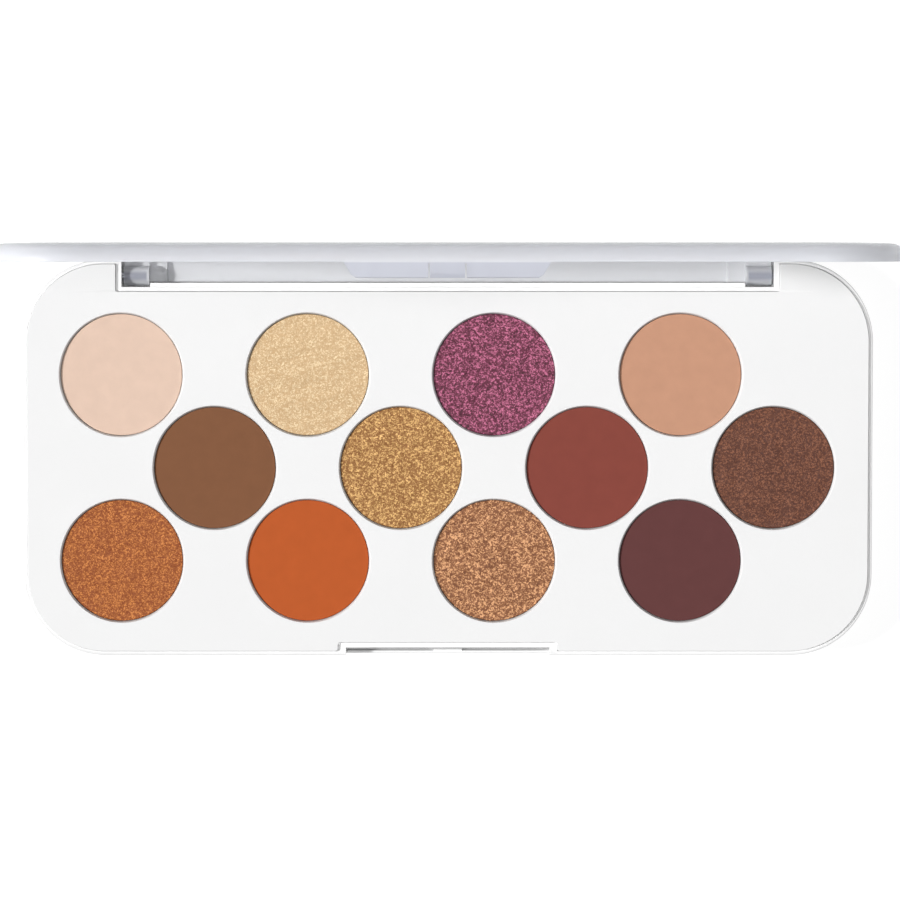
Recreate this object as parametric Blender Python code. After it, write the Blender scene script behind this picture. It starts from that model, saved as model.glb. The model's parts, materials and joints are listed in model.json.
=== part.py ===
"""Eyeshadow palette: a flat tray of twelve round powder pans with a hinged, mirrored lid.

Metres, +Z up, +Y towards the hinge. The origin is the centre of the base's underside.
The lid stands open at a right angle. It is drawn closed, round the hinge axis, and a
parent empty on that axis turns it open.
"""

import math

import bmesh
import bpy

MM = 0.001

# ---- base shell and deck: half sizes, seen from above -----------------------------------
SHELL_HALF_X = 90.8 * MM
SHELL_HALF_Y = 42.35 * MM
SHELL_CORNER = 17.5 * MM
SHELL_WALL = 1.7 * MM
FLOOR = 1.2 * MM
LEDGE_Z = 9.0 * MM              # rim that the closed lid meets
SHELL_FOOT_ROUND = 1.6 * MM

DECK_INSET = 1.1 * MM           # width of the rim left bare round the deck
DECK_TOP_Z = 9.5 * MM
DECK_THICK = 1.3 * MM
SEAM = 0.25 * MM                # gap between deck and shell
REST_GAP = 0.2 * MM             # gap under a piece that rests on another

# ---- pans and powder --------------------------------------------------------------------
PAN_PITCH = 19.9 * MM           # half the distance between two pans of a row
ROW_Y = -2.1 * MM               # the middle row's place
HOLE_R = 13.3 * MM
WELL_WALL = 1.0 * MM
WELL_FLOOR = 0.9 * MM
PAN_R = 13.0 * MM
PAN_SHEET = 0.35 * MM
PAN_HEIGHT = 3.8 * MM
PAN_RIM_Z = DECK_TOP_Z - 1.0 * MM
POWDER_TOP_Z = DECK_TOP_Z - 0.6 * MM
POWDER_IN_PAN_R = 12.4 * MM
POWDER_TOP_R = 12.9 * MM        # the cake is pressed out over the pan's thin rim
POWDER_ROUND = 0.2 * MM
GLUE_THICK = 0.25 * MM
GLUE_R = 10.0 * MM
GLUE_GAP = 0.1 * MM

# ---- hinge ------------------------------------------------------------------------------
AXIS_Y = 38.96 * MM
AXIS_Z = 5.6 * MM
RECESS_HALF_X = 69.6 * MM
RECESS_FRONT_Y = 36.56 * MM
RECESS_CHEEK = 1.15 * MM
RECESS_FRONT_WALL = 0.94 * MM
KNUCKLE_OUTER_X = 69.2 * MM
KNUCKLE_INNER_X = 63.8 * MM
LUG_INNER_X = 60.0 * MM
KNUCKLE_R = 2.1 * MM
PIN_R = 0.65 * MM
PIN_CLEARANCE = 0.15 * MM
PIN_LENGTH = 11.1 * MM
BOSS_LENGTH = 4.75 * MM

# ---- lid, drawn closed ------------------------------------------------------------------
LID_DEPTH = 3.65 * MM
LID_WALL = 1.2 * MM
LID_ROUND = 3.2 * MM
LID_SEAT_GAP = 0.15 * MM
LIP_THICK = 0.75 * MM           # skirt's thinner lip beside the raised deck
LIP_HEIGHT = 0.8 * MM
DROP_PLATE_BELOW_AXIS = 1.33 * MM
JOIN = 0.05 * MM                # how far a joined block stays inside the lid's outer face
SHY = 0.02 * MM                 # keeps faces of joined blocks out of one plane

MIRROR_HALF_X = 82.0 * MM
MIRROR_HALF_Y = 35.0 * MM
MIRROR_CORNER = 12.0 * MM
MIRROR_THICK = 1.0 * MM
MIRROR_GLUE_INSET = 2.0 * MM

# ---- latch ------------------------------------------------------------------------------
NOTCH_HALF_X = 21.8 * MM
NOTCH_FACE_Y = -40.95 * MM
NOTCH_FLOOR_Z = 4.6 * MM
DECK_NOTCH_HALF_X = 23.7 * MM
DECK_NOTCH_Y = -39.38 * MM
TAB_ROOT_HALF_X = 20.1 * MM
TAB_TIP_HALF_X = 18.3 * MM
TAB_LENGTH = 2.95 * MM
TAB_THICK = 1.1 * MM
TONGUE_HALF_X = 3.4 * MM
SLIT = 0.35 * MM
TONGUE_THICK = 0.6 * MM
NIB = 0.35 * MM
CATCH_HALF_X = 3.05 * MM
CATCH_OUT = 0.35 * MM

CORNER_STEPS = 12
ROUND_STEPS = 28
HIDDEN_ROUND_STEPS = 24
PEG_STEPS = 12
SHARP_ANGLE = math.radians(35)

RIM_TO_AXIS = LEDGE_Z - AXIS_Z
REAR_TO_AXIS = SHELL_HALF_Y - AXIS_Y
DECK_HALF_X = SHELL_HALF_X - DECK_INSET
DECK_HALF_Y = SHELL_HALF_Y - DECK_INSET + 0.1 * MM
DECK_CORNER = SHELL_CORNER - DECK_INSET
DECK_UNDER_Z = DECK_TOP_Z - DECK_THICK
WELL_FLOOR_Z = PAN_RIM_Z - PAN_HEIGHT - 2 * GLUE_GAP - GLUE_THICK
LID_TOP = RIM_TO_AXIS + LID_DEPTH          # heights in the lid's frame, from the axis
LID_EDGE = RIM_TO_AXIS + LID_SEAT_GAP
LID_CEILING = LID_TOP - LID_WALL

# Shade name, place in its row in half pitches, row (1 rear, -1 front), colour.
SHADES = [
    ("pale_peach", -3.5, 1, (0.80, 0.60, 0.48)),
    ("pale_gold", -1.5, 1, (0.76, 0.54, 0.31)),
    ("berry", 0.5, 1, (0.27, 0.08, 0.13)),
    ("tan", 2.5, 1, (0.61, 0.33, 0.21)),
    ("brown", -2.5, 0, (0.25, 0.11, 0.06)),
    ("gold", -0.5, 0, (0.50, 0.27, 0.10)),
    ("brick_red", 1.5, 0, (0.27, 0.07, 0.05)),
    ("dark_brown", 3.5, 0, (0.18, 0.08, 0.05)),
    ("copper", -3.5, -1, (0.45, 0.15, 0.05)),
    ("orange", -1.5, -1, (0.54, 0.12, 0.03)),
    ("rose_gold", 0.5, -1, (0.44, 0.21, 0.11)),
    ("plum", 2.5, -1, (0.14, 0.055, 0.053)),
]
# Places of the pegs that hold the deck down, on the same half-pitch grid.
PEGS = [(-2.5, 1), (1.5, 1), (3.5, 1), (-2.5, -1), (1.5, -1), (3.5, -1), (-3.5, 0)]
PEG_R = 1.2 * MM
POST_R = 2.7 * MM
POST_TOP_Z = 6.6 * MM
PEG_END_Z = 2.6 * MM
PAD_R = 5.0 * MM


def clear_scene():
    for old in list(bpy.data.objects):
        bpy.data.objects.remove(old)


def make_material(name, colour, roughness, metallic=0.0, alpha=1.0):
    material = bpy.data.materials.new(name)
    material.use_nodes = True
    shader = material.node_tree.nodes["Principled BSDF"]
    shader.inputs["Base Color"].default_value = (*colour, 1.0)
    shader.inputs["Roughness"].default_value = roughness
    shader.inputs["Metallic"].default_value = metallic
    shader.inputs["Alpha"].default_value = alpha
    return material


# ---- shape helpers ----------------------------------------------------------------------
def rounded_outline(half_x, half_y, corner, steps=CORNER_STEPS):
    """Points (x, y) of a rectangle with round corners, anticlockwise from above."""
    points = []
    for quarter in range(4):
        sign_x = 1 if quarter in (0, 3) else -1
        sign_y = 1 if quarter in (0, 1) else -1
        for step in range(steps + 1):
            angle = math.pi / 2 * (quarter + step / steps)
            points.append((
                sign_x * (half_x - corner) + corner * math.cos(angle),
                sign_y * (half_y - corner) + corner * math.sin(angle),
            ))
    return points


def quarter_round(radius, steps):
    """(inset, drop) pairs of a quarter circle, from the flat face to the upright side."""
    pairs = []
    for step in range(steps + 1):
        angle = math.pi / 2 * step / steps
        pairs.append((radius * (1 - math.sin(angle)), radius * (1 - math.cos(angle))))
    return pairs


def object_from(name, bm, material=None, parent=None, smooth=True):
    """Links the mesh as an object with outward faces, and lets go of the bmesh."""
    bmesh.ops.recalc_face_normals(bm, faces=bm.faces)
    mesh = bpy.data.meshes.new(name)
    bm.to_mesh(mesh)
    bm.free()
    made = bpy.data.objects.new(name, mesh)
    bpy.context.scene.collection.objects.link(made)
    if material:
        mesh.materials.append(material)
    if parent:
        made.parent = parent
    if smooth:
        mesh.shade_smooth()
        mesh.set_sharp_from_angle(angle=SHARP_ANGLE)
    return made


def loft(name, rings, material=None, parent=None):
    """A closed solid through rings of points, one above the next, with flat end faces."""
    bm = bmesh.new()
    loops = [[bm.verts.new(point) for point in ring] for ring in rings]
    count = len(loops[0])
    for lower, upper in zip(loops, loops[1:]):
        for i in range(count):
            j = (i + 1) % count
            bm.faces.new((lower[i], lower[j], upper[j], upper[i]))
    bm.faces.new(reversed(loops[0]))
    bm.faces.new(loops[-1])
    return object_from(name, bm, material, parent)


def slab(name, half_x, half_y, corner, z_low, z_high, material=None, parent=None, centre_y=0.0):
    """An upright plate with a rounded-rectangle outline."""
    outline = rounded_outline(half_x, half_y, corner)
    rings = [[(x, y + centre_y, z) for x, y in outline] for z in (z_low, z_high)]
    return loft(name, rings, material, parent)


def box(name, low, high, material=None, parent=None):
    """A block between two corners."""
    bm = bmesh.new()
    bmesh.ops.create_cube(bm, size=1.0)
    for vert in bm.verts:
        for axis in range(3):
            vert.co[axis] = high[axis] if vert.co[axis] > 0 else low[axis]
    return object_from(name, bm, material, parent, smooth=False)


def prism_along_x(name, profile, x_low, x_high, parent=None):
    """A (y, z) outline drawn along X."""
    rings = [[(x, y, z) for y, z in profile] for x in (x_low, x_high)]
    return loft(name, rings, parent=parent)


def turned(name, profile, steps, centre=(0.0, 0.0), material=None):
    """Rings of (radius, z) round an upright axis, closed by flat discs at both ends."""
    turn = 2 * math.pi / steps
    rings = []
    for radius, z in profile:
        rings.append([
            (centre[0] + radius * math.cos(turn * i), centre[1] + radius * math.sin(turn * i), z)
            for i in range(steps)
        ])
    return loft(name, rings, material)


def turned_along_x(name, profile, steps, centre=(0.0, 0.0), material=None, parent=None):
    """Rings of (x, radius) round an axis along X, whose (y, z) is the centre."""
    turn = 2 * math.pi / steps
    rings = []
    for x, radius in profile:
        rings.append([
            (x, centre[0] + radius * math.cos(turn * i), centre[1] + radius * math.sin(turn * i))
            for i in range(steps)
        ])
    return loft(name, rings, material, parent)


def combine(target, other, operation):
    """Adds a Boolean to target. The other shape is a tool, not a piece of the palette."""
    other.hide_render = True
    other.display_type = "WIRE"
    modifier = target.modifiers.new(other.name, "BOOLEAN")
    modifier.operation = operation
    modifier.solver = "EXACT"
    modifier.object = other


def cut(target, other):
    combine(target, other, "DIFFERENCE")


def add(target, other):
    combine(target, other, "UNION")


def grid_place(column, row):
    """Centre (x, y) of a place on the staggered pan grid."""
    return column * PAN_PITCH, ROW_Y + row * PAN_PITCH


# ---- base -------------------------------------------------------------------------------
def make_base_shell(material):
    rings = []
    for inset, drop in quarter_round(SHELL_FOOT_ROUND, 3):
        outline = rounded_outline(SHELL_HALF_X - inset, SHELL_HALF_Y - inset, SHELL_CORNER - inset)
        rings.append([(x, y, drop) for x, y in outline])
    top = rounded_outline(SHELL_HALF_X, SHELL_HALF_Y, SHELL_CORNER)
    rings.append([(x, y, LEDGE_Z) for x, y in top])
    shell = loft("base_shell", rings, material)

    cut(shell, slab(
        "shell_hollow_tool", SHELL_HALF_X - SHELL_WALL, SHELL_HALF_Y - SHELL_WALL,
        SHELL_CORNER - SHELL_WALL, FLOOR, LEDGE_Z + MM,
    ))
    cut(shell, slab(
        "shell_rebate_tool", DECK_HALF_X + SEAM, DECK_HALF_Y + SEAM, DECK_CORNER + SEAM,
        DECK_UNDER_Z - REST_GAP, LEDGE_Z + MM,
    ))
    make_shell_inside(shell)
    make_shell_hinge(shell)
    make_shell_latch(shell)
    return shell


def make_shell_inside(shell):
    """Posts with blind holes for the deck's pegs, and low pads under the pan wells."""
    for i, (column, row) in enumerate(PEGS):
        place = grid_place(column, row)
        profile = [(POST_R, FLOOR - 0.3 * MM), (POST_R, POST_TOP_Z)]
        add(shell, turned(f"post_tool_{i}", profile, PEG_STEPS, place))
        hole_r = PEG_R + SEAM
        profile = [(hole_r, PEG_END_Z - 2 * SEAM), (hole_r, POST_TOP_Z + MM)]
        cut(shell, turned(f"post_hole_tool_{i}", profile, PEG_STEPS, place))
    pad_top = WELL_FLOOR_Z - WELL_FLOOR - REST_GAP
    for name, column, row, _ in SHADES:
        profile = [(PAD_R, FLOOR - 0.3 * MM), (PAD_R, pad_top)]
        add(shell, turned(f"pad_tool_{name}", profile, PEG_STEPS, grid_place(column, row)))


def make_shell_hinge(shell):
    """The walled recess at the rear, open behind, with a bored boss beyond each cheek."""
    wall_x = RECESS_HALF_X + RECESS_CHEEK
    wall_y = RECESS_FRONT_Y - RECESS_FRONT_WALL
    inside_wall_y = SHELL_HALF_Y - SHELL_WALL / 2
    add(shell, box(
        "recess_block_tool", (-wall_x, wall_y, FLOOR / 2), (wall_x, inside_wall_y, LEDGE_Z),
    ))
    boss_half = KNUCKLE_R
    for side in (-1, 1):
        ends = sorted((side * (wall_x - MM / 2), side * (wall_x + BOSS_LENGTH)))
        add(shell, box(
            f"boss_tool_{side}", (ends[0], AXIS_Y - boss_half, FLOOR / 2),
            (ends[1], inside_wall_y, AXIS_Z + boss_half),
        ))
    cut(shell, box(
        "recess_tool", (-RECESS_HALF_X, RECESS_FRONT_Y, FLOOR),
        (RECESS_HALF_X, SHELL_HALF_Y + MM, LEDGE_Z + MM),
    ))
    for side in (-1, 1):
        ends = sorted((side * (RECESS_HALF_X - MM), side * (wall_x + BOSS_LENGTH + MM)))
        profile = [(x, PIN_R + PIN_CLEARANCE) for x in ends]
        cut(shell, turned_along_x(
            f"boss_bore_tool_{side}", profile, HIDDEN_ROUND_STEPS, (AXIS_Y, AXIS_Z)))
    stop_top = AXIS_Z - REAR_TO_AXIS - 0.16 * MM
    stop_half_x = LUG_INNER_X - 2 * MM
    add(shell, box(
        "stop_rib_tool", (-stop_half_x, AXIS_Y + 1.5 * MM, FLOOR / 2),
        (stop_half_x, SHELL_HALF_Y - 0.35 * MM, stop_top),
    ))


def make_shell_latch(shell):
    """A thicker front wall, cut back outside for the lid's tab, with a catch on its face."""
    block_half_x = DECK_NOTCH_HALF_X - SEAM
    add(shell, box(
        "latch_block_tool", (-block_half_x, -SHELL_HALF_Y + SHELL_WALL / 2, FLOOR / 2),
        (block_half_x, DECK_NOTCH_Y - SEAM, LEDGE_Z),
    ))
    cut(shell, box(
        "latch_notch_tool", (-NOTCH_HALF_X, -SHELL_HALF_Y - MM, NOTCH_FLOOR_Z),
        (NOTCH_HALF_X, NOTCH_FACE_Y, LEDGE_Z + MM),
    ))
    face = NOTCH_FACE_Y + 0.3 * MM
    out = NOTCH_FACE_Y - CATCH_OUT
    profile = [
        (face, 7.1 * MM), (NOTCH_FACE_Y, 7.1 * MM), (out, 7.3 * MM), (out, 7.7 * MM),
        (NOTCH_FACE_Y, 8.6 * MM), (face, 8.6 * MM),
    ]
    add(shell, prism_along_x("catch_tool", profile, -CATCH_HALF_X, CATCH_HALF_X))


def make_deck_plate(material):
    deck = slab(
        "deck_plate", DECK_HALF_X, DECK_HALF_Y, DECK_CORNER, DECK_UNDER_Z, DECK_TOP_Z, material,
    )
    for name, column, row, _ in SHADES:
        profile = [
            (HOLE_R + WELL_WALL, WELL_FLOOR_Z - WELL_FLOOR),
            (HOLE_R + WELL_WALL, DECK_UNDER_Z + 0.4 * MM),
        ]
        well = turned(f"well_tool_{name}", profile, ROUND_STEPS, grid_place(column, row))
        add(deck, well)
    for i, (column, row) in enumerate(PEGS):
        profile = [(PEG_R, PEG_END_Z), (PEG_R, DECK_UNDER_Z + 0.4 * MM)]
        add(deck, turned(f"peg_tool_{i}", profile, PEG_STEPS, grid_place(column, row)))
    for name, column, row, _ in SHADES:
        profile = [(HOLE_R, WELL_FLOOR_Z), (HOLE_R, DECK_TOP_Z + MM)]
        cut(deck, turned(f"hole_tool_{name}", profile, ROUND_STEPS, grid_place(column, row)))
    cut_half_x = RECESS_HALF_X + RECESS_CHEEK + SEAM
    cut_y = RECESS_FRONT_Y - RECESS_FRONT_WALL - SEAM
    cut(deck, box(
        "deck_recess_tool", (-cut_half_x, cut_y, 0.0), (cut_half_x, SHELL_HALF_Y, LEDGE_Z + MM),
    ))
    cut(deck, box(
        "deck_notch_tool", (-DECK_NOTCH_HALF_X, -SHELL_HALF_Y, 0.0),
        (DECK_NOTCH_HALF_X, DECK_NOTCH_Y, LEDGE_Z + MM),
    ))
    return deck


def make_pan(name, place, material):
    """A drawn sheet-metal cup with a chamfered foot."""
    foot = PAN_RIM_Z - PAN_HEIGHT
    inner = PAN_R - PAN_SHEET
    chamfer = 0.5 * MM
    profile = [
        (PAN_R - chamfer, foot), (PAN_R, foot + chamfer), (PAN_R, PAN_RIM_Z),
        (inner, PAN_RIM_Z), (inner, foot + PAN_SHEET),
    ]
    return turned(f"pan_{name}", profile, HIDDEN_ROUND_STEPS, place, material)


def make_powder(name, place, material):
    """The pressed cake: it fills the pan, covers its rim and is rounded at its top edge."""
    foot = PAN_RIM_Z - PAN_HEIGHT + PAN_SHEET + GLUE_GAP
    lip = PAN_RIM_Z + GLUE_GAP
    profile = [
        (POWDER_IN_PAN_R, foot), (POWDER_IN_PAN_R, lip), (POWDER_TOP_R, lip),
        (POWDER_TOP_R, POWDER_TOP_Z - POWDER_ROUND), (POWDER_TOP_R - POWDER_ROUND, POWDER_TOP_Z),
    ]
    return turned(f"powder_{name}", profile, ROUND_STEPS, place, material)


def make_pan_glue(name, place, material):
    low = WELL_FLOOR_Z + GLUE_GAP
    profile = [(GLUE_R, low), (GLUE_R, low + GLUE_THICK)]
    return turned(f"pan_glue_{name}", profile, HIDDEN_ROUND_STEPS, place, material)


def make_pins(material):
    """Two short steel pins, each from a boss of the shell into a knuckle of the lid."""
    chamfer = 0.2 * MM
    for name, side in (("left", -1), ("right", 1)):
        near = KNUCKLE_INNER_X + 0.3 * MM
        far = near + PIN_LENGTH
        profile = [
            (near, PIN_R - chamfer), (near + chamfer, PIN_R),
            (far - chamfer, PIN_R), (far, PIN_R - chamfer),
        ]
        profile = [(side * x, radius) for x, radius in profile]
        turned_along_x(
            f"hinge_pin_{name}", profile, HIDDEN_ROUND_STEPS, (AXIS_Y, AXIS_Z), material)


# ---- lid: Y and Z are measured from the hinge axis, with the lid closed ------------------
def make_lid_axis():
    axis = bpy.data.objects.new("lid_axis", None)
    axis.location = (0.0, AXIS_Y, AXIS_Z)
    axis.rotation_euler = (-math.pi / 2, 0.0, 0.0)
    bpy.context.scene.collection.objects.link(axis)
    return axis


def make_lid_shell(axis, material):
    rings = []
    outline = rounded_outline(SHELL_HALF_X, SHELL_HALF_Y, SHELL_CORNER)
    rings.append([(x, y - AXIS_Y, LID_EDGE) for x, y in outline])
    for inset, drop in reversed(quarter_round(LID_ROUND, 5)):
        outline = rounded_outline(SHELL_HALF_X - inset, SHELL_HALF_Y - inset, SHELL_CORNER - inset)
        rings.append([(x, y - AXIS_Y, LID_TOP - drop) for x, y in outline])
    lid = loft("lid_shell", rings, material, axis)

    cut(lid, make_lid_hollow(axis))
    lip_x = SHELL_HALF_X - LIP_THICK
    lip_y = SHELL_HALF_Y - LIP_THICK
    cut(lid, slab(
        "lid_lip_tool", lip_x, lip_y, SHELL_CORNER - LIP_THICK,
        LID_EDGE - MM, RIM_TO_AXIS + LIP_HEIGHT, parent=axis, centre_y=-AXIS_Y,
    ))
    for side in (-1, 1):
        cut(lid, make_rear_relief(axis, side))
    make_lid_hinge(lid, axis)
    make_lid_latch(lid, axis)
    return lid


def make_lid_hollow(axis):
    """The space inside the lid, rounded where it meets the panel."""
    rings = []
    half_x = SHELL_HALF_X - LID_WALL
    half_y = SHELL_HALF_Y - LID_WALL
    corner = SHELL_CORNER - LID_WALL
    outline = rounded_outline(half_x, half_y, corner)
    rings.append([(x, y - AXIS_Y, LID_EDGE - MM) for x, y in outline])
    for inset, drop in reversed(quarter_round(LID_ROUND - LID_WALL, 3)):
        outline = rounded_outline(half_x - inset, half_y - inset, corner - inset)
        rings.append([(x, y - AXIS_Y, LID_CEILING - drop) for x, y in outline])
    return loft("lid_hollow_tool", rings, parent=axis)


def make_rear_relief(axis, side):
    """Beside the hinge block the skirt would catch on the shell's rear edge as it turns.

    It is cut back to a surface turned round the hinge axis, whose radius at each x just
    clears the shell's top edge there.
    """
    start = KNUCKLE_OUTER_X + 0.2 * MM
    arc_start = SHELL_HALF_X - SHELL_CORNER
    arc_centre_y = SHELL_HALF_Y - SHELL_CORNER - AXIS_Y
    stations = [start, arc_start]
    stations += [arc_start + SHELL_CORNER * math.sin(math.radians(a)) for a in (15, 25, 35, 45)]
    profile = []
    for x in stations:
        along = max(0.0, x - arc_start)
        edge_y = arc_centre_y + math.sqrt(SHELL_CORNER ** 2 - along ** 2)
        radius = math.hypot(max(edge_y, 0.0), RIM_TO_AXIS) + SEAM
        profile.append((side * x, radius))
    return turned_along_x(f"relief_tool_{side}", profile, 48, parent=axis)


def make_lid_hinge(lid, axis):
    """The drop plate, a thicker lug at each end, and the two bored knuckles."""
    rear = REAR_TO_AXIS - JOIN
    low = -DROP_PLATE_BELOW_AXIS
    into_skirt = LID_TOP - LID_ROUND + 0.3 * MM
    plate_front = REAR_TO_AXIS - LID_WALL
    add(lid, box(
        "drop_plate_tool", (-KNUCKLE_OUTER_X + SHY, plate_front, low),
        (KNUCKLE_OUTER_X - SHY, rear, into_skirt), parent=axis,
    ))
    lug_front = 1.2 * MM
    back = hinge_block_back(rear - SHY, low + SHY, into_skirt - SHY)
    lug_profile = [(lug_front, low + SHY)] + back + [(lug_front, back[-1][1])]
    knuckle_profile = knuckle_front(low + SHY) + back + [(0.0, back[-1][1])]
    for side in (-1, 1):
        ends = sorted((side * LUG_INNER_X, side * (KNUCKLE_INNER_X + 0.2 * MM)))
        add(lid, prism_along_x(f"lug_tool_{side}", lug_profile, *ends, parent=axis))
        ends = sorted((side * KNUCKLE_INNER_X, side * KNUCKLE_OUTER_X))
        add(lid, prism_along_x(f"knuckle_tool_{side}", knuckle_profile, *ends, parent=axis))
        ends = sorted((side * (KNUCKLE_INNER_X + 0.1 * MM), side * (KNUCKLE_OUTER_X + MM)))
        cut(lid, turned_along_x(
            f"knuckle_bore_tool_{side}", [(x, PIN_R + PIN_CLEARANCE) for x in ends],
            HIDDEN_ROUND_STEPS, parent=axis))


def hinge_block_back(rear, low, into_skirt):
    """Rear part of a hinge block's (y, z) outline: up the skirt, then inside the panel."""
    shoulder = 2.0 * MM
    into_panel = LID_CEILING + 0.3 * MM
    return [(rear, low), (rear, into_skirt), (shoulder, into_skirt), (shoulder, into_panel)]


def knuckle_front(low, steps=12):
    """Front part of a knuckle's (y, z) outline: an arc round the axis, top to rear foot."""
    start = math.pi / 2
    end = 2 * math.pi + math.asin(low / KNUCKLE_R)
    angles = [start + (end - start) * step / steps for step in range(steps + 1)]
    return [(KNUCKLE_R * math.cos(a), KNUCKLE_R * math.sin(a)) for a in angles]


def make_lid_latch(lid, axis):
    """The tab in front of the shell's notch: a trapezoid with a slit tongue and its nib."""
    outer = -SHELL_HALF_Y - AXIS_Y + JOIN
    inner = outer + TAB_THICK
    tip = RIM_TO_AXIS - TAB_LENGTH
    root = LID_TOP - LID_ROUND + 0.3 * MM
    chamfer = 0.6 * MM
    outline = [
        (-TAB_ROOT_HALF_X, root), (-TAB_ROOT_HALF_X, LID_EDGE),
        (-TAB_TIP_HALF_X - chamfer / 2, tip + chamfer), (-TAB_TIP_HALF_X + chamfer, tip),
        (TAB_TIP_HALF_X - chamfer, tip), (TAB_TIP_HALF_X + chamfer / 2, tip + chamfer),
        (TAB_ROOT_HALF_X, LID_EDGE), (TAB_ROOT_HALF_X, root),
    ]
    rings = [[(x, y, z) for x, z in outline] for y in (outer, inner)]
    add(lid, loft("tab_tool", rings, parent=axis))
    slit_top = LID_EDGE - 0.3 * MM
    for side in (-1, 1):
        ends = sorted((side * TONGUE_HALF_X, side * (TONGUE_HALF_X + SLIT)))
        cut(lid, box(
            f"slit_tool_{side}", (ends[0], outer - MM, tip - MM), (ends[1], inner + MM, slit_top),
            parent=axis,
        ))
    tongue_inner = outer + TONGUE_THICK
    nib_top = tip + 0.85 * MM
    cut(lid, box(
        "tongue_back_tool", (-TONGUE_HALF_X - SLIT / 2, tongue_inner, nib_top),
        (TONGUE_HALF_X + SLIT / 2, inner + MM / 2, slit_top), parent=axis,
    ))
    cut(lid, box(
        "nib_back_tool", (-TONGUE_HALF_X - SLIT / 2, tongue_inner + NIB, tip - MM),
        (TONGUE_HALF_X + SLIT / 2, inner + MM / 2, nib_top + 0.1 * MM), parent=axis,
    ))


def make_mirror(axis, glass, glue):
    """The mirror and the adhesive sheet behind it, against the lid's panel."""
    glue_high = LID_CEILING - GLUE_GAP
    glue_low = glue_high - GLUE_THICK
    slab(
        "mirror_glue", MIRROR_HALF_X - MIRROR_GLUE_INSET, MIRROR_HALF_Y - MIRROR_GLUE_INSET,
        MIRROR_CORNER - MIRROR_GLUE_INSET, glue_low, glue_high, glue, axis, -AXIS_Y,
    )
    mirror_high = glue_low - GLUE_GAP
    slab(
        "mirror", MIRROR_HALF_X, MIRROR_HALF_Y, MIRROR_CORNER,
        mirror_high - MIRROR_THICK, mirror_high, glass, axis, -AXIS_Y,
    )


def main():
    clear_scene()
    white = make_material("white_plastic", (0.88, 0.88, 0.88), 0.35)
    pale_grey = make_material("pale_grey_plastic", (0.85, 0.85, 0.85), 0.45)
    frosted = make_material("frosted_plastic", (0.80, 0.81, 0.85), 0.30, alpha=0.6)
    steel = make_material("pin_steel", (0.62, 0.62, 0.64), 0.25, 1.0)
    tin = make_material("pan_tinplate", (0.70, 0.70, 0.70), 0.30, 1.0)
    adhesive = make_material("adhesive", (0.75, 0.72, 0.62), 0.60)
    silver = make_material("mirror_silver", (0.90, 0.91, 0.92), 0.03, 1.0)

    make_base_shell(white)
    make_deck_plate(pale_grey)
    make_pins(steel)
    for name, column, row, colour in SHADES:
        place = grid_place(column, row)
        make_pan(name, place, tin)
        make_powder(name, place, make_material(f"powder_{name}", colour, 0.85))
        make_pan_glue(name, place, adhesive)

    axis = make_lid_axis()
    make_lid_shell(axis, frosted)
    make_mirror(axis, silver, adhesive)


main()
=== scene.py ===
# %% [markdown]
# # An eyeshadow palette, open at a right angle
#
# The palette is a flat white tray with twelve round cakes of pressed powder in three
# staggered rows, and a frosted lid that carries a mirror. The solid model with the real
# sizes and the hinge is made already, and this lesson builds the surfaces that are seen.
# Places come from the solid model's boxes and its hinge axis, so that nothing needs
# fitting, and the cross-sections and small details have their own sizes here.

# %% Load the solid model
import json
import math

import bmesh
import bpy
import numpy as np
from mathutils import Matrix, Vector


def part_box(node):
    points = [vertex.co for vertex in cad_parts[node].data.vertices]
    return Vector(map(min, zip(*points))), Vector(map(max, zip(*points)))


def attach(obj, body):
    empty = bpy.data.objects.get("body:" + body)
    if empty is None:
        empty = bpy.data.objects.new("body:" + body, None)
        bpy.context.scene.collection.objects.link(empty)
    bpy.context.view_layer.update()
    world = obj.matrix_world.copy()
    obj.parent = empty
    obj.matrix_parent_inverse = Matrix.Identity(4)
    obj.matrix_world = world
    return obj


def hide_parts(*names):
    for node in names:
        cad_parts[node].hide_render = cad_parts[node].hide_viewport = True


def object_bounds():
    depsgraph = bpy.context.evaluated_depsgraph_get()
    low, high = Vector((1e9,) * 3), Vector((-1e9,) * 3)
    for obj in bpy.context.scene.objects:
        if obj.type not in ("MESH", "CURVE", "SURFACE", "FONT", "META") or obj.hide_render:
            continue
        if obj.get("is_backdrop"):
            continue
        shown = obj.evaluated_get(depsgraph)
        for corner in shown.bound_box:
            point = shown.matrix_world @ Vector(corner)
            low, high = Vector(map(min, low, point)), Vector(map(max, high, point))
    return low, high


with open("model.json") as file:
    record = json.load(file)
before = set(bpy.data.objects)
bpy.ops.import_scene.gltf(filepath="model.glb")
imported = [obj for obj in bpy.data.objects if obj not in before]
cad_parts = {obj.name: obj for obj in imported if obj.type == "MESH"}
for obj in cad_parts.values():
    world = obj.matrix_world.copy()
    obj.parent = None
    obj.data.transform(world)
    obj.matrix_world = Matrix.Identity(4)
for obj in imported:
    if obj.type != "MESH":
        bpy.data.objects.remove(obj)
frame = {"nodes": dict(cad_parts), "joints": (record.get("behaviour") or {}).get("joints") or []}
cad_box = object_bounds()
MM = 0.001

# %% [markdown]
# ## Sizes that come from the solid model
#
# A node's box gives its lowest and highest corner. The tray, the deck and the hinge axis
# fix nearly everything else, so they are read once here and given plain names. Lengths
# from the model are in metres. Sizes chosen in this lesson are in millimetres, and where
# a value is given times MM it is in metres too.

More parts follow.
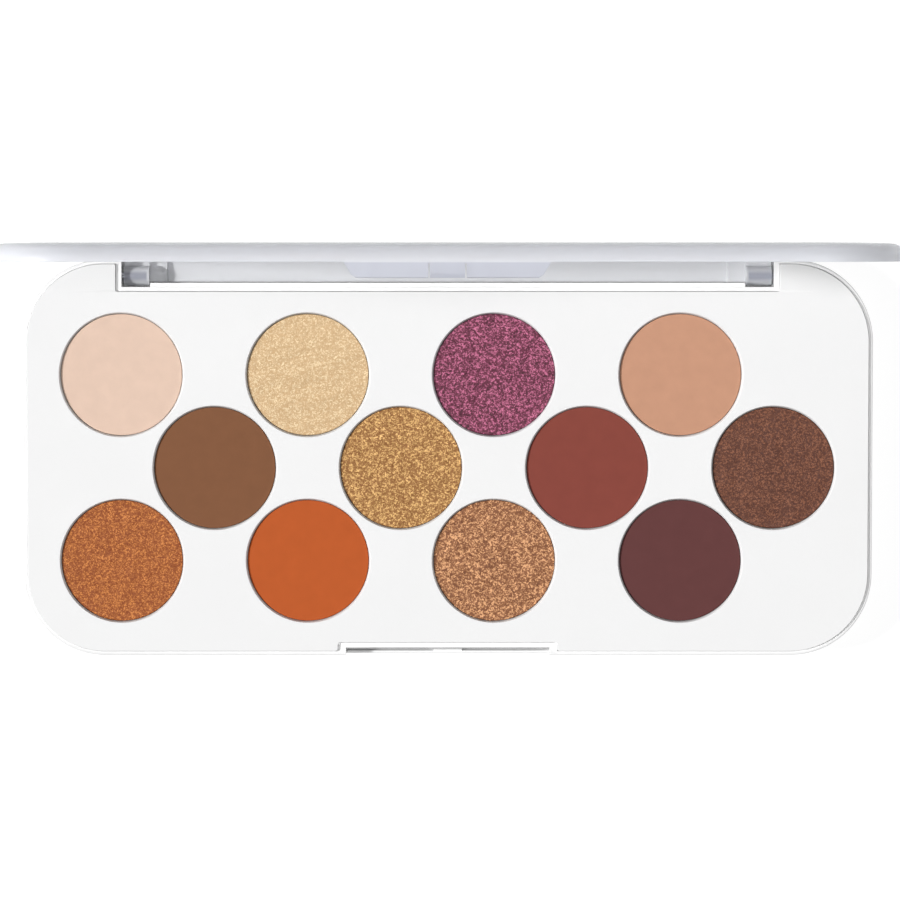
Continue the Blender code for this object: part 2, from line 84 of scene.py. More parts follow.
# %% Read the driving sizes
HALF_X, HALF_Y, RIM_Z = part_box("base_shell")[1]
DECK_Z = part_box("deck_plate")[1].z
AXIS_Y, AXIS_Z = frame["joints"][0]["pos_m"][1:]
LID_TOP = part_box("lid_shell")[1].y - AXIS_Y      # panel's outer face, from the axis
RIM = RIM_Z - AXIS_Z                             # tray's rim, from the axis
REAR = HALF_Y - AXIS_Y                           # rear face, from the axis
CORNER = 17.5 * MM                               # round corners of tray and lid
print("tray half size mm", round(HALF_X / MM, 2), round(HALF_Y / MM, 2))
print("lid top above axis mm", round(LID_TOP / MM, 2))

# %% [markdown]
# ## Round corners by formula
#
# Moulded plastic has no perfectly sharp edge: a small round catches a line of light. All
# profiles and outlines here are drawn as corner points, and one function turns every
# corner into an arc. A radius of zero keeps the corner, repeated, so that two profiles
# with the same number of corners always have the same number of points.

# %% Corner rounding
TINY, NO_BEND = 1e-9, 1e-3                       # a length and an angle that count as none


def rounded_line(corners, radii, steps=6, closed=False):
    """Points of a line whose corners become arcs.

    With unit vectors u and v from a corner to its neighbours and the angle a between
    them, the arc's centre lies r / sin(a / 2) along their bisector, and the arc turns
    evenly from the point r / tan(a / 2) along u to the same distance along v.
    """
    p, r = np.asarray(corners, float), np.asarray(radii, float)
    u, v = np.roll(p, 1, axis=0) - p, np.roll(p, -1, axis=0) - p
    length_u, length_v = np.linalg.norm(u, axis=1), np.linalg.norm(v, axis=1)
    bends = (r > 0) & (length_u > TINY) & (length_v > TINY)
    if not closed:
        bends[[0, -1]] = False
    u = u / np.maximum(length_u, TINY)[:, None]
    v = v / np.maximum(length_v, TINY)[:, None]
    half = np.arccos(np.clip((u * v).sum(axis=1), -1, 1)) / 2
    bends &= (half > NO_BEND) & (half < np.pi / 2 - NO_BEND)
    half = np.where(bends, half, 1.0)
    bisector = u + v
    bisector = bisector / np.maximum(np.linalg.norm(bisector, axis=1), TINY)[:, None]
    centre = p + bisector * (r / np.sin(half))[:, None]
    first = p + u * (r / np.tan(half))[:, None] - centre
    last = p + v * (r / np.tan(half))[:, None] - centre
    turn = (np.pi - 2 * half)[:, None, None]
    s = np.linspace(0, 1, steps)[None, :, None]
    arc = np.sin((1 - s) * turn) * first[:, None] + np.sin(s * turn) * last[:, None]
    arc = centre[:, None] + arc / np.sin(turn)
    return np.where(bends[:, None, None], arc, p[:, None]).reshape(-1, 2)


def rounded_rows(rows, steps=6, closed=False):
    """The same line from rows (first, second, rounding) in millimetres, given in metres."""
    rows = np.array(rows, float)
    return rounded_line(rows[:, :2] * MM, rows[:, 2] * MM, steps, closed)


print("points on a rounded square", len(rounded_rows([(0, 0, 1), (9, 0, 1), (9, 9, 1), (0, 9, 1)])))

# %% [markdown]
# ## From arrays to a mesh
#
# Each surface is a grid of points. Neighbouring grid points give the quads, and both end
# loops are closed by one flat face, so the result is a closed solid. Repeated points are
# merged, and the faces are turned outwards once, at the very end.

# %% Mesh helpers
MERGE, SLIVER = 2e-6, 1e-7                       # metres: same point, and edge of no length
SHARP = 32                                       # degrees between faces at a sharp edge


def grid_quads(rows, columns):
    """Corner numbers of every quad of a grid whose last row joins its first."""
    index = np.arange(rows * columns).reshape(rows, columns)
    after = np.roll(index, -1, axis=0)
    quads = (index[:, :-1], after[:, :-1], after[:, 1:], index[:, 1:])
    return np.stack(quads, axis=-1).reshape(-1, 4)


def mesh_object(name, points, faces, sharp_degrees=SHARP):
    """An object from points and faces, with doubles merged and faces turned outwards."""
    mesh = bpy.data.meshes.new(name)
    mesh.from_pydata(points.reshape(-1, 3), [], faces)
    bm = bmesh.new()
    bm.from_mesh(mesh)
    bmesh.ops.remove_doubles(bm, verts=bm.verts, dist=MERGE)
    bmesh.ops.dissolve_degenerate(bm, edges=bm.edges, dist=SLIVER)
    bmesh.ops.recalc_face_normals(bm, faces=bm.faces)
    bm.to_mesh(mesh)
    bm.free()
    mesh.shade_smooth()
    mesh.set_sharp_from_angle(angle=math.radians(sharp_degrees))
    piece = bpy.data.objects.new(name, mesh)
    bpy.context.scene.collection.objects.link(piece)
    return piece


def closed_grid(name, points, sharp_degrees=SHARP):
    """A ring of profiles, points[ring, along, xyz], closed by a flat face at both ends."""
    rings, along = points.shape[:2]
    index = np.arange(rings * along).reshape(rings, along)
    faces = grid_quads(rings, along).tolist()
    faces += [index[:, 0].tolist(), index[:, -1].tolist()]
    return mesh_object(name, points, faces, sharp_degrees)


print("quads on a ring of 6 profiles with 4 points each", len(grid_quads(6, 4)))

# %% [markdown]
# Round pieces come from one profile swung round an upright line. Every finished piece then
# gets its material and the body that it moves with, and the solid node that it stands for
# is hidden.


# %% Turned shapes and finished pieces
def turned(name, radius, height, centre, steps=96, relief=None):
    """A surface of revolution: (radius, height) pairs swung round an upright line.

    x = cx + r cos(a), y = cy + r sin(a), z = height, with an optional relief added to z.
    """
    angle = np.arange(steps) * 2 * np.pi / steps
    x = centre[0] + np.outer(np.cos(angle), radius)
    y = centre[1] + np.outer(np.sin(angle), radius)
    z = np.broadcast_to(height, x.shape).copy()
    if relief is not None:
        z += relief(x - centre[0], y - centre[1])
    return closed_grid(name, np.stack([x, y, z], axis=-1))


def finish_piece(piece, body, material, nodes=()):
    """Gives a piece its material, lets it ride on its body, and hides its nodes."""
    piece.data.materials.clear()
    piece.data.materials.append(material)
    even = piece.modifiers.new("even shading", "WEIGHTED_NORMAL")
    even.keep_sharp = True
    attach(piece, body)
    if nodes:
        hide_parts(*nodes)
    print(piece.name, "faces", len(piece.data.polygons), "on", body)


# %% [markdown]
# ## An outline to carry profiles along
#
# Tray and lid share one outline, a rectangle with round corners. It is walked anticlockwise
# from the right rear corner. Each station has a point, the direction straight out of the
# side, and the number of the zone it is in. A zone is a stretch with its own cross-section,
# such as the hinge recess. Where two zones meet, the same x is listed twice, and the wall
# between the two cross-sections is the step that is seen there.


# %% Outline and sweep
def both_sides(stops):
    """Stops (x, zone) from right to centre, and the same mirrored, on to the left."""
    return stops + [(-x, zone) for x, zone in reversed(stops)]


def walk_outline(rear_stops, front_stops, zones, arc_steps=28):
    """Stations of the outline: points, outward directions and zone numbers."""
    cx, cy = HALF_X - CORNER, HALF_Y - CORNER
    points, outward, zone = [], [], []
    straight = {0: both_sides(rear_stops), 2: both_sides(front_stops)[::-1]}
    for quarter in range(4):
        angle = np.pi / 2 * (quarter + np.linspace(0, 1, arc_steps))
        direction = np.stack([np.cos(angle), np.sin(angle)], axis=1)
        centre = np.array([cx if quarter in (0, 3) else -cx, cy if quarter < 2 else -cy])
        points.append(centre + CORNER * direction)
        outward.append(direction)
        zone.append(np.zeros(arc_steps, int))
        stops = straight.get(quarter)
        if stops:
            side = 1 if quarter == 0 else -1
            x = np.array([stop[0] for stop in stops]) * MM
            points.append(np.stack([x, np.full(len(x), side * HALF_Y)], axis=1))
            outward.append(np.tile([0.0, side], (len(x), 1)))
            zone.append(np.array([zones.index(stop[1]) for stop in stops]))
    return np.concatenate(points), np.concatenate(outward), np.concatenate(zone)


def profile_table(profiles, steps):
    """One rounded (inset, height) line per zone, stacked: [zone, point, 2]."""
    return np.stack([rounded_rows(rows, steps) for rows in profiles.values()])


def sweep(points, outward, profile):
    """Carries profile[station, point, (inset, height)] along the outline.

    x and y move inwards from the outline by the inset, and z is the height.
    """
    xy = points[:, None] - outward[:, None] * profile[..., :1]
    return np.concatenate([xy, profile[..., 1:]], axis=-1)


print("stations on a plain outline", len(walk_outline([], [], ["plain"])[0]))

# %% [markdown]
# ## White tray
#
# The tray is one injection moulding: a thin floor and a wall with a narrow rim, on which
# the closed lid rests. Inside the rim a small step carries the deck. At the rear the wall
# turns inwards round the hinge recess, and in front it is cut back for the latch. A swept
# profile makes all of it in one closed surface, which a stack of boxes could not do
# without seams. Each row below is a corner: inset, height, rounding, in millimetres. Every
# profile has 18 corners, so that a point of one meets the same point of the next.

# %% Tray profiles
rim, floor = RIM_Z / MM, 1.2
FLOOR_IN = 8.0                                   # the profiles end here, on the flat floor
RIM_WIDE, WALL_WIDE, SEAT_Z = 0.85, 1.7, rim - 1.0
NOTCH_Z, NOTCH_IN, LATCH_WALL_IN = 4.6, 1.4, 2.72
GROOVE_IN, GROOVE_FOOT_IN, GROOVE_DEEP = 0.5, 1.05, 1.8
CATCH_OUT, CATCH_Z = 0.35, (7.1, 7.3, 7.7, 8.6)  # how far it stands out, and its corners
RECESS_IN, RECESS_WALL_IN = 5.79, 6.73
LEDGE_IN, LEDGE_Z, LEDGE_X = 4.94, 8.4, 63.5
CHEEK_X, RECESS_X = 70.75, 69.6
LATCH_BLOCK_X, LATCH_X, CATCH_X = 23.45, 21.8, 3.05


def tray_outer(inset, catch, groove=0):
    """Outside of the wall: foot, notch floor with its groove, corners of the catch, top edge."""
    step = [(inset, NOTCH_Z, 0)] * 3
    if groove:
        step = [
            (GROOVE_IN, NOTCH_Z, 0.05), (GROOVE_FOOT_IN, NOTCH_Z - groove, 0),
            (inset, NOTCH_Z - groove, 0)]
    catch_insets = (inset, inset - catch, inset - catch, inset)
    return (
        [(FLOOR_IN, 0, 0), (0, 0, 1.6), (0, NOTCH_Z, 0.2 if inset else 0)] + step
        + [(out, height, 0) for out, height in zip(catch_insets, CATCH_Z)]
        + [(inset, rim, 0.22)])


def tray_inner(top_insets, wall_in):
    """Flat top through four insets, then down the wall's inner side and on to the floor."""
    return [(inset, rim, 0) for inset in top_insets] + [
        (wall_in, rim, 0.15), (wall_in, floor, 0.4), (FLOOR_IN, floor, 0)]


def recess_line(ledge_in):
    """Foot, floor out to the open rear, and the recess's front wall with a ledge at its top."""
    return [(FLOOR_IN, 0, 0), (0, 0, 1.15)] + [(0, floor, 0)] * 9 + [
        (ledge_in, floor, 0.2), (ledge_in, LEDGE_Z, 0.1), (RECESS_IN, LEDGE_Z, 0),
        (RECESS_IN, rim, 0.15), (RECESS_WALL_IN, rim, 0.15), (RECESS_WALL_IN, floor, 0.4),
        (FLOOR_IN, floor, 0)]


latch_inner = tray_inner([1.5, 1.6, 1.7, 2.2], LATCH_WALL_IN)
tray_profiles = {
    "plain": tray_outer(0, 0) + [
        (0.4, rim, 0), (0.6, rim, 0), (RIM_WIDE, rim, 0.1), (RIM_WIDE, SEAT_Z, 0),
        (WALL_WIDE, SEAT_Z, 0), (WALL_WIDE, floor, 0.4), (FLOOR_IN, floor, 0)],
    "latch_block": tray_outer(0, 0) + latch_inner,
    "notch": tray_outer(NOTCH_IN, 0, GROOVE_DEEP) + latch_inner,
    "catch": tray_outer(NOTCH_IN, CATCH_OUT) + latch_inner,
    "cheek": tray_outer(0, 0) + tray_inner([2.0, 3.0, 4.0, RECESS_IN], RECESS_WALL_IN),
    "recess": recess_line(RECESS_IN),
    "ledge": recess_line(LEDGE_IN),
}
tray_zones = list(tray_profiles)
print("tray zones and corners", {name: len(rows) for name, rows in tray_profiles.items()})


# %% Build the tray
def build_tray():
    """The tray's profiles, swept along the outline."""
    rear = [
        (CHEEK_X, "plain"), (CHEEK_X, "cheek"), (RECESS_X, "cheek"), (RECESS_X, "recess"),
        (LEDGE_X, "recess"), (LEDGE_X, "ledge")]
    front = [
        (LATCH_BLOCK_X, "plain"), (LATCH_BLOCK_X, "latch_block"), (LATCH_X, "latch_block"),
        (LATCH_X, "notch"), (CATCH_X, "notch"), (CATCH_X, "catch")]
    points, outward, zone = walk_outline(rear, front, tray_zones)
    profile = profile_table(tray_profiles, steps=6)[zone]
    return closed_grid("tray_shell", sweep(points, outward, profile))


tray = build_tray()
print("tray faces", len(tray.data.polygons))

# %% [markdown]
# ## Pale grey deck
#
# The deck drops into the tray and is seen as a flat plate with twelve round openings. Its
# outline has a long cut-out round the hinge recess and a shallow one at the latch. Blender
# fills a flat curve with holes by itself and rounds every edge with the curve's bevel,
# which is why the plate is a curve first and a mesh afterwards.

# %% Deck outline
SEAM = 0.06                                      # gap between the deck and the tray
deck_x, deck_y = HALF_X / MM - RIM_WIDE - SEAM, HALF_Y / MM - RIM_WIDE - SEAM
DECK_CORNER, DECK_THICK, EDGE = CORNER / MM - RIM_WIDE - SEAM, 1.3, 0.12
cut_x, cut_y = CHEEK_X + SEAM, HALF_Y / MM - RECESS_WALL_IN - SEAM
latch_x, latch_y = LATCH_BLOCK_X + SEAM, -HALF_Y / MM + LATCH_WALL_IN + SEAM
deck_right = [                                   # x, y and rounding of each corner
    (0, latch_y, 0), (latch_x, latch_y, 0.7), (latch_x, -deck_y, 0.5),
    (deck_x, -deck_y, DECK_CORNER), (deck_x, deck_y, DECK_CORNER),
    (cut_x, deck_y, 0.3), (cut_x, cut_y, 0.35), (0, cut_y, 0),
]
deck_rows = deck_right + [(-x, y, r) for x, y, r in reversed(deck_right[1:-1])]
print("deck corners", len(deck_rows))

# %% Places of the openings
HOLE_R = 13.3 * MM                               # radius of a round opening


def box_centre(node):
    """Middle of a solid node's box."""
    low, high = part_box(node)
    return (low + high) / 2


SHADES = [name[len("powder_"):] for name in frame["nodes"] if name.startswith("powder_")]
pan_places = {shade: box_centre(f"powder_{shade}") for shade in SHADES}
print("shades", SHADES)


# %% Build the deck
def circle(radius, centre, steps=160):
    """Points of a circle: centre plus radius times (cos a, sin a)."""
    angle = np.arange(steps) * 2 * np.pi / steps
    return np.asarray(centre) + radius * np.stack([np.cos(angle), np.sin(angle)], axis=1)


def add_loop(curve, points):
    """Adds one closed straight-sided loop of (x, y) points to a flat curve."""
    spline = curve.splines.new("POLY")
    spline.points.add(len(points) - 1)
    flat = np.zeros((len(points), 4))
    flat[:, :2] = points
    spline.points.foreach_set("co", flat.ravel())
    spline.use_cyclic_u = True


def build_deck():
    """The outline and its holes, filled, thickened and bevelled, then lifted into place."""
    curve = bpy.data.curves.new("deck_outline", "CURVE")
    curve.dimensions, curve.fill_mode = "2D", "BOTH"
    curve.extrude = (DECK_THICK / 2 - EDGE) * MM
    curve.bevel_depth, curve.bevel_resolution = EDGE * MM, 3
    curve.offset = -EDGE * MM
    outline = rounded_rows(deck_rows, steps=24, closed=True)
    apart = np.linalg.norm(outline - np.roll(outline, 1, axis=0), axis=1) > MERGE / 2
    add_loop(curve, outline[apart])
    for place in pan_places.values():
        add_loop(curve, circle(HOLE_R, place[:2]))
    holder = bpy.data.objects.new("deck_outline", curve)
    bpy.context.scene.collection.objects.link(holder)
    mesh = bpy.data.meshes.new_from_object(holder)
    bpy.data.objects.remove(holder)
    flat = np.empty(len(mesh.vertices) * 3)
    mesh.vertices.foreach_get("co", flat)
    points = flat.reshape(-1, 3) + [0, 0, DECK_Z - DECK_THICK / 2 * MM]
    faces = [list(face.vertices) for face in mesh.polygons]
    return mesh_object("deck", points, faces, sharp_degrees=50)


deck = build_deck()
print("deck faces", len(deck.data.polygons))

# %% [markdown]
# Under each opening hangs a cup that holds its pan. It is a simple turned shape, and only
# the upper part of its inner wall is seen, in the dark gap round the powder. There the
# mouth goes straight down a little and then narrows to the pan.

# %% Wells under the deck
WELL_TOP, WELL_BOTTOM, WELL_WALL, WELL_FLOOR = 8.2, 3.5, 1.0, 0.9
MOUTH_DEEP, NECK_DEEP, NECK_IN, MOUTH_GAP = 0.2, 0.75, 0.27, 0.01


def build_well(shade, place):
    """A cup from (radius, height, rounding) rows: inside from the floor up, then outside."""
    hole, low, deck_top = HOLE_R / MM, WELL_BOTTOM, DECK_Z / MM
    inner, mouth, outer = hole - NECK_IN, hole - MOUTH_GAP, hole + WELL_WALL
    line = rounded_rows([
        (0, low + WELL_FLOOR, 0), (inner, low + WELL_FLOOR, 0.3),
        (inner, deck_top - NECK_DEEP, 0), (mouth, deck_top - MOUTH_DEEP, 0),
        (mouth, WELL_TOP, 0), (outer, WELL_TOP, 0), (outer, low, 0.4), (0, low, 0)])
    return turned(f"well_{shade}", line[:, 0], line[:, 1], place)


wells = [build_well(shade, place) for shade, place in pan_places.items()]
print("wells", len(wells))

# %% [markdown]
# ## Frosted lid
#
# The lid is one translucent moulding too. It is easiest to draw closed, with heights
# measured from the hinge axis, and to turn open at the end. Its skirt has seven kinds of
# cross-section: the plain skirt with a thin lip, the drop plate behind the hinge recess,
# the thicker lug and the round knuckle at each end of it, the latch tab, and the slit and
# the tongue in the tab. The knuckle's round front is a true arc about the hinge axis.

# %% Lid sizes
WALL, LIP_IN, SKIRT_ROUND, INNER_ROUND, STEP = 1.2, 0.75, 3.2, 1.6, 0.02
PANEL_IN = 10.0                                  # the profiles end here, on the flat panel
lid_top, ceiling = LID_TOP / MM, LID_TOP / MM - WALL
lid_edge, lip_top, rear = RIM / MM + 0.15, RIM / MM + 0.8, REAR / MM
KNUCKLE_R, PLATE_LOW, LUG_FRONT = 2.1, -1.33, 1.2
KNUCKLE_X, KNUCKLE_END_X, LUG_X, LUG_SLOPE = 63.8, 69.2, 60.0, 0.15
TAB_TIP, TAB_IN = RIM / MM - 2.95, 1.15
TAB_FLAT_X, TAB_CHAMFER_X, TAB_ROOT_X, TAB_CHAMFER = 17.7, 18.6, 20.1, 0.6
SLIT_X, SLIT_TOP = 3.75, lid_edge - 0.3
TONGUE_X, TONGUE_IN, NIB_IN, NIB_TOP = 3.4, 0.65, 1.0, TAB_TIP + 0.85
CORE = 12                                        # corners that shape the inner side
print("lid heights above axis mm", [round(h, 2) for h in (lid_top, ceiling, lid_edge, TAB_TIP)])

# %% Lid profiles
barrel_angle = np.linspace(2 * np.pi + math.asin(PLATE_LOW / KNUCKLE_R), np.pi / 2, CORE)
barrel = np.stack([
    rear - KNUCKLE_R * np.cos(barrel_angle), KNUCKLE_R * np.sin(barrel_angle)], axis=1)
core_heights = np.maximum(barrel[:, 1], PLATE_LOW)


def lid_line(outer, core, top_inset, top_round):
    """Panel, outer fillet, outer corners, padded inner corners, inner fillet, ceiling."""
    core = list(core) + [core[-1]] * (CORE - len(core))
    return (
        [(PANEL_IN, lid_top, 0), (0, lid_top, SKIRT_ROUND)] + outer + core
        + [(top_inset, ceiling, top_round), (PANEL_IN, ceiling, 0)])


def straight_core(inset):
    """Inner side at one inset, split at the heights of the knuckle's corners."""
    return [(inset, height, 0) for height in core_heights]


plate_outer = [(0, lid_edge, 0), (0, PLATE_LOW, 0.2)]
skirt_end = (WALL + STEP, lip_top + STEP, 0)
tab_end = [(TAB_IN, lip_top - 0.05, 0), skirt_end]
lug_in = rear - LUG_FRONT
lid_profiles = {
    "plain": lid_line(
        [(0, lid_edge + 0.15, 0), (0, lid_edge, 0.1)],
        [(LIP_IN, lid_edge, 0.08), (LIP_IN, lip_top, 0), skirt_end], WALL, INNER_ROUND),
    "plate": lid_line(plate_outer, straight_core(WALL), WALL, 0.6),
    "lug": lid_line(plate_outer, straight_core(lug_in), lug_in, 0.6),
    "knuckle": lid_line(plate_outer, [(i, h, 0) for i, h in barrel], rear, 0.6),
    "tab": lid_line(
        [(0, lid_edge, 0), (0, TAB_TIP, 0.25)],
        [(TAB_IN, TAB_TIP, 0.15)] + tab_end, WALL, INNER_ROUND),
    "slit": lid_line(
        [(0, lid_edge, 0), (0, SLIT_TOP, 0)],
        [(TAB_IN, SLIT_TOP, 0)] + tab_end, WALL, INNER_ROUND),
    "tongue": lid_line(
        [(0, TAB_TIP + 1.05, 0), (0.3, TAB_TIP, 0.1)],
        [(NIB_IN, TAB_TIP, 0.12), (NIB_IN, NIB_TOP, 0.1), (TONGUE_IN, NIB_TOP, 0),
         (TONGUE_IN, SLIT_TOP, 0.15), (TAB_IN, SLIT_TOP, 0)] + tab_end, WALL, INNER_ROUND),
}
lid_zones = list(lid_profiles)
print("lid zones and corners", {name: len(rows) for name, rows in lid_profiles.items()})

# %% [markdown]
# Two stretches change steadily along the outline. The tab has slanting sides, so its tip
# climbs towards its ends. Beside the hinge, the skirt would catch on the tray's rear edge
# as it turns, so its underside follows a surface turned round the hinge axis that just
# clears that edge.

# %% Lid shaping
CLEARANCE = 0.25 * MM                            # between the skirt and the tray's rear edge


def tab_tip_height(x):
    """Tip height at x: level in the middle, then a short chamfer and a slanting side."""
    return np.interp(
        np.abs(x) / MM, [TAB_FLAT_X, TAB_CHAMFER_X, TAB_ROOT_X],
        [TAB_TIP, TAB_TIP + TAB_CHAMFER, lid_edge])


def relief_height(x, y):
    """Height above the axis of the turned surface that clears the tray's rear edge.

    The radius at x is the distance from the axis to the tray's rim at its outline, plus
    a clearance, and the height at y is the square root of radius squared less y squared.
    """
    along = np.clip(np.abs(x) - (HALF_X - CORNER), 0, CORNER)
    edge_y = HALF_Y - CORNER + np.sqrt(CORNER ** 2 - along ** 2) - AXIS_Y
    radius = np.hypot(np.maximum(edge_y, 0), RIM) + CLEARANCE
    return np.sqrt(np.maximum(radius ** 2 - y ** 2, 0))


def open_up(points):
    """Turns points (x, y, height above the axis) from closed to open, about the axis.

    What pointed up now points to the rear, and what pointed to the rear points down.
    """
    x, y, up = points[..., 0], points[..., 1] - AXIS_Y, points[..., 2]
    return np.stack([x, AXIS_Y + up, AXIS_Z - y], axis=-1)


print("tab tip at its root mm", round(float(tab_tip_height(TAB_ROOT_X * MM)), 2))


# %% Build the lid
def build_lid():
    """The lid's profiles, swept along the outline, shaped at tab and hinge, and opened."""
    rear_stops = [
        (KNUCKLE_END_X, "plain"), (KNUCKLE_END_X, "knuckle"), (KNUCKLE_X, "knuckle"),
        (KNUCKLE_X, "lug"), (LUG_X + LUG_SLOPE, "lug"), (LUG_X - LUG_SLOPE, "plate")]
    front_stops = [
        (TAB_ROOT_X, "plain"), (TAB_ROOT_X, "tab"), (19.3, "tab"), (TAB_CHAMFER_X, "tab"),
        (18.2, "tab"), (TAB_FLAT_X, "tab"), (SLIT_X, "tab"), (SLIT_X, "slit"),
        (TONGUE_X, "slit"), (TONGUE_X, "tongue")]
    points, outward, zone = walk_outline(rear_stops, front_stops, lid_zones)
    profile = profile_table(lid_profiles, steps=8)[zone]
    is_tab = (zone == lid_zones.index("tab"))[:, None]
    tip = tab_tip_height(points[:, 0])[:, None] * MM
    profile[..., 1] = np.where(is_tab, np.maximum(profile[..., 1], tip), profile[..., 1])
    swept = sweep(points, outward, profile)
    is_plain = zone == lid_zones.index("plain")
    is_plain_rear = (is_plain & (points[:, 1] > 0))[:, None]
    relief = relief_height(swept[..., 0], swept[..., 1] - AXIS_Y)
    relief = np.where(is_plain_rear, np.minimum(relief, ceiling * MM), -1)
    swept[..., 2] = np.maximum(swept[..., 2], relief)
    return closed_grid("frosted_lid", open_up(swept))


lid = build_lid()
print("lid faces", len(lid.data.polygons))

# %% [markdown]
# ## Hinge pins and their bores
#
# Two short steel pins carry the lid. Each sits in a boss of the tray and reaches into a
# knuckle, where it shows through the frosted plastic. All but its inner end has a fine
# knurl, which grips so that the pin can't creep out: the radius dips along two crossing
# sets of grooves.

# %% Build the pins
PIN_R, BORE_R, PIN_STEPS = 0.65 * MM, 0.8 * MM, 72
CHAMFER_LONG, CHAMFER_DEEP = 0.25 * MM, 0.2 * MM
KNURL_TEETH, KNURL_DEEP, KNURL_TWIST = 18, 0.06 * MM, 0.07 * MM
KNURL_START, KNURL_FADE = 0.8 * MM, 0.3 * MM


def along_x(name, x, radius):
    """A round bar about the hinge axis: y = axis + r cos(a), z = axis + r sin(a).

    x has one value per station, and radius one per angle and station.
    """
    angle = (np.arange(PIN_STEPS) * 2 * np.pi / PIN_STEPS)[:, None]
    radius = np.broadcast_to(radius, (PIN_STEPS, len(x)))
    points = np.stack([
        np.broadcast_to(x, radius.shape), AXIS_Y + radius * np.cos(angle),
        AXIS_Z + radius * np.sin(angle)], axis=-1)
    return closed_grid(name, points)


def build_pin(side):
    """A bar whose ends are rounded over, and which is knurled from near its inner end out.

    The knurl is the product of two waves, sin(n a + x / t) and sin(n a - x / t).
    """
    low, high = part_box(f"hinge_pin_{side}")
    sign = 1 if side == "right" else -1
    near, far = sorted((abs(low.x), abs(high.x)))
    x = np.linspace(near, far, 160)
    angle = (np.arange(PIN_STEPS) * 2 * np.pi / PIN_STEPS)[:, None]
    from_end = np.clip(np.minimum(x - near, far - x) / CHAMFER_LONG, 0, 1)
    body = PIN_R - CHAMFER_DEEP * (1 - from_end) ** 2
    turns, twist = KNURL_TEETH * angle, x / KNURL_TWIST
    wave = np.sin(turns + twist) * np.sin(turns - twist)
    in_knurl = np.clip((x - near - KNURL_START) / KNURL_FADE, 0, 1)
    radius = body - KNURL_DEEP * (0.5 + 0.5 * wave) * in_knurl
    return along_x(f"pin_{side}", sign * x, radius)


pins = {side: build_pin(side) for side in ("left", "right")}
print("pins", list(pins))


# %% Bore the knuckles
def bore_knuckles():
    """Drills the pin's blind hole into each knuckle of the lid."""
    for side, sign in (("left", -1), ("right", 1)):
        x = sign * np.linspace(KNUCKLE_X + 0.1, KNUCKLE_END_X + 1, 2) * MM
        drill = along_x(f"drill_{side}", x, BORE_R)
        cut = lid.modifiers.new("bore", "BOOLEAN")
        cut.operation, cut.object, cut.solver = "DIFFERENCE", drill, "EXACT"
        bpy.context.view_layer.update()
        evaluated = lid.evaluated_get(bpy.context.evaluated_depsgraph_get())
        bored = bpy.data.meshes.new_from_object(evaluated)
        lid.modifiers.clear()
        lid.data = bored
        bpy.data.objects.remove(drill)


bore_knuckles()
print("lid faces after boring", len(lid.data.polygons))

# %% [markdown]
# ## Mirror
#
# A silvered sheet with a narrow ground edge, stuck to the inside of the lid's panel with a
# thin adhesive sheet. Both are plates with round corners, drawn in the plane of the open
# lid. The mirror's ground edge is part of its profile.

# %% Build the mirror and its adhesive
PLATE_IN = 3.0                                   # a plate's profile ends here, on its faces


def upright_plate(name, node, corner, profile):
    """A plate that stands in the X-Z plane, from a node's box and an (inset, share) profile.

    The outline is a rounded rectangle; each profile row moves it inwards by the inset and
    to that share of the way from the front face to the back face.
    """
    low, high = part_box(node)
    inset, share = np.array(profile).T
    cx, cz = (low.x + high.x) / 2, (low.z + high.z) / 2
    hx, hz = (high.x - low.x) / 2, (high.z - low.z) / 2
    rings = []
    for step in inset * MM:
        x, z, r = hx - step, hz - step, corner * MM - step
        corners = [(x, z), (-x, z), (-x, -z), (x, -z)]
        rings.append(rounded_line(corners, [r] * 4, 24, closed=True))
    flat = np.stack(rings, axis=1)
    y = low.y + (high.y - low.y) * np.broadcast_to(share, flat.shape[:2])
    points = np.stack([cx + flat[..., 0], y, cz + flat[..., 1]], axis=-1)
    return closed_grid(name, points, sharp_degrees=20)


mirror = upright_plate(
    "mirror_plate", "mirror", 12,
    [(PLATE_IN, 0), (0.9, 0), (0.05, 0.35), (0, 0.4), (0, 0.95), (0.05, 1), (PLATE_IN, 1)])
mirror_sheet = upright_plate(
    "mirror_adhesive", "mirror_glue", 10,
    [(PLATE_IN, 0), (0.05, 0), (0, 0.5), (0.05, 1), (PLATE_IN, 1)])
print("mirror faces", len(mirror.data.polygons))

# %% [markdown]
# ## Stop rib
#
# A low rib on the recess floor, under the drop plate, keeps the lid from turning past a
# right angle. It is a plain bar with a rounded top.

# %% Build the stop rib
RIB_X, RIB_FOOT, RIB_ROUND = 58.0 * MM, 0.8 * MM, 0.2 * MM
RIB_FRONT, RIB_REAR, RIB_GAP = 1.5 * MM, 0.35 * MM, 0.16 * MM


def build_stop_rib():
    """A (y, z) line with a rounded top, carried straight along X."""
    y0, y1 = AXIS_Y + RIB_FRONT, HALF_Y - RIB_REAR
    top = AXIS_Z - REAR - RIB_GAP
    corners = [(y0, RIB_FOOT), (y0, top), (y1, top), (y1, RIB_FOOT)]
    line = rounded_line(corners, [0, RIB_ROUND, RIB_ROUND, 0])
    x = np.array([-RIB_X, RIB_X])
    points = np.stack([
        np.broadcast_to(x, (len(line), 2)), np.repeat(line[:, :1], 2, axis=1),
        np.repeat(line[:, 1:], 2, axis=1)], axis=-1)
    return closed_grid("stop_rib", points)


stop_rib = build_stop_rib()
print("stop rib faces", len(stop_rib.data.polygons))

# %% [markdown]
# ## Pans and powder
#
# Each shade is pressed into a drawn tinplate cup. The press leaves the cake level, with a
# slightly soft edge and a surface that is never quite flat. The relief is a sum of fourteen
# waves with random directions, which stays the same at each run because the random numbers
# are seeded by the shade's place in the list.

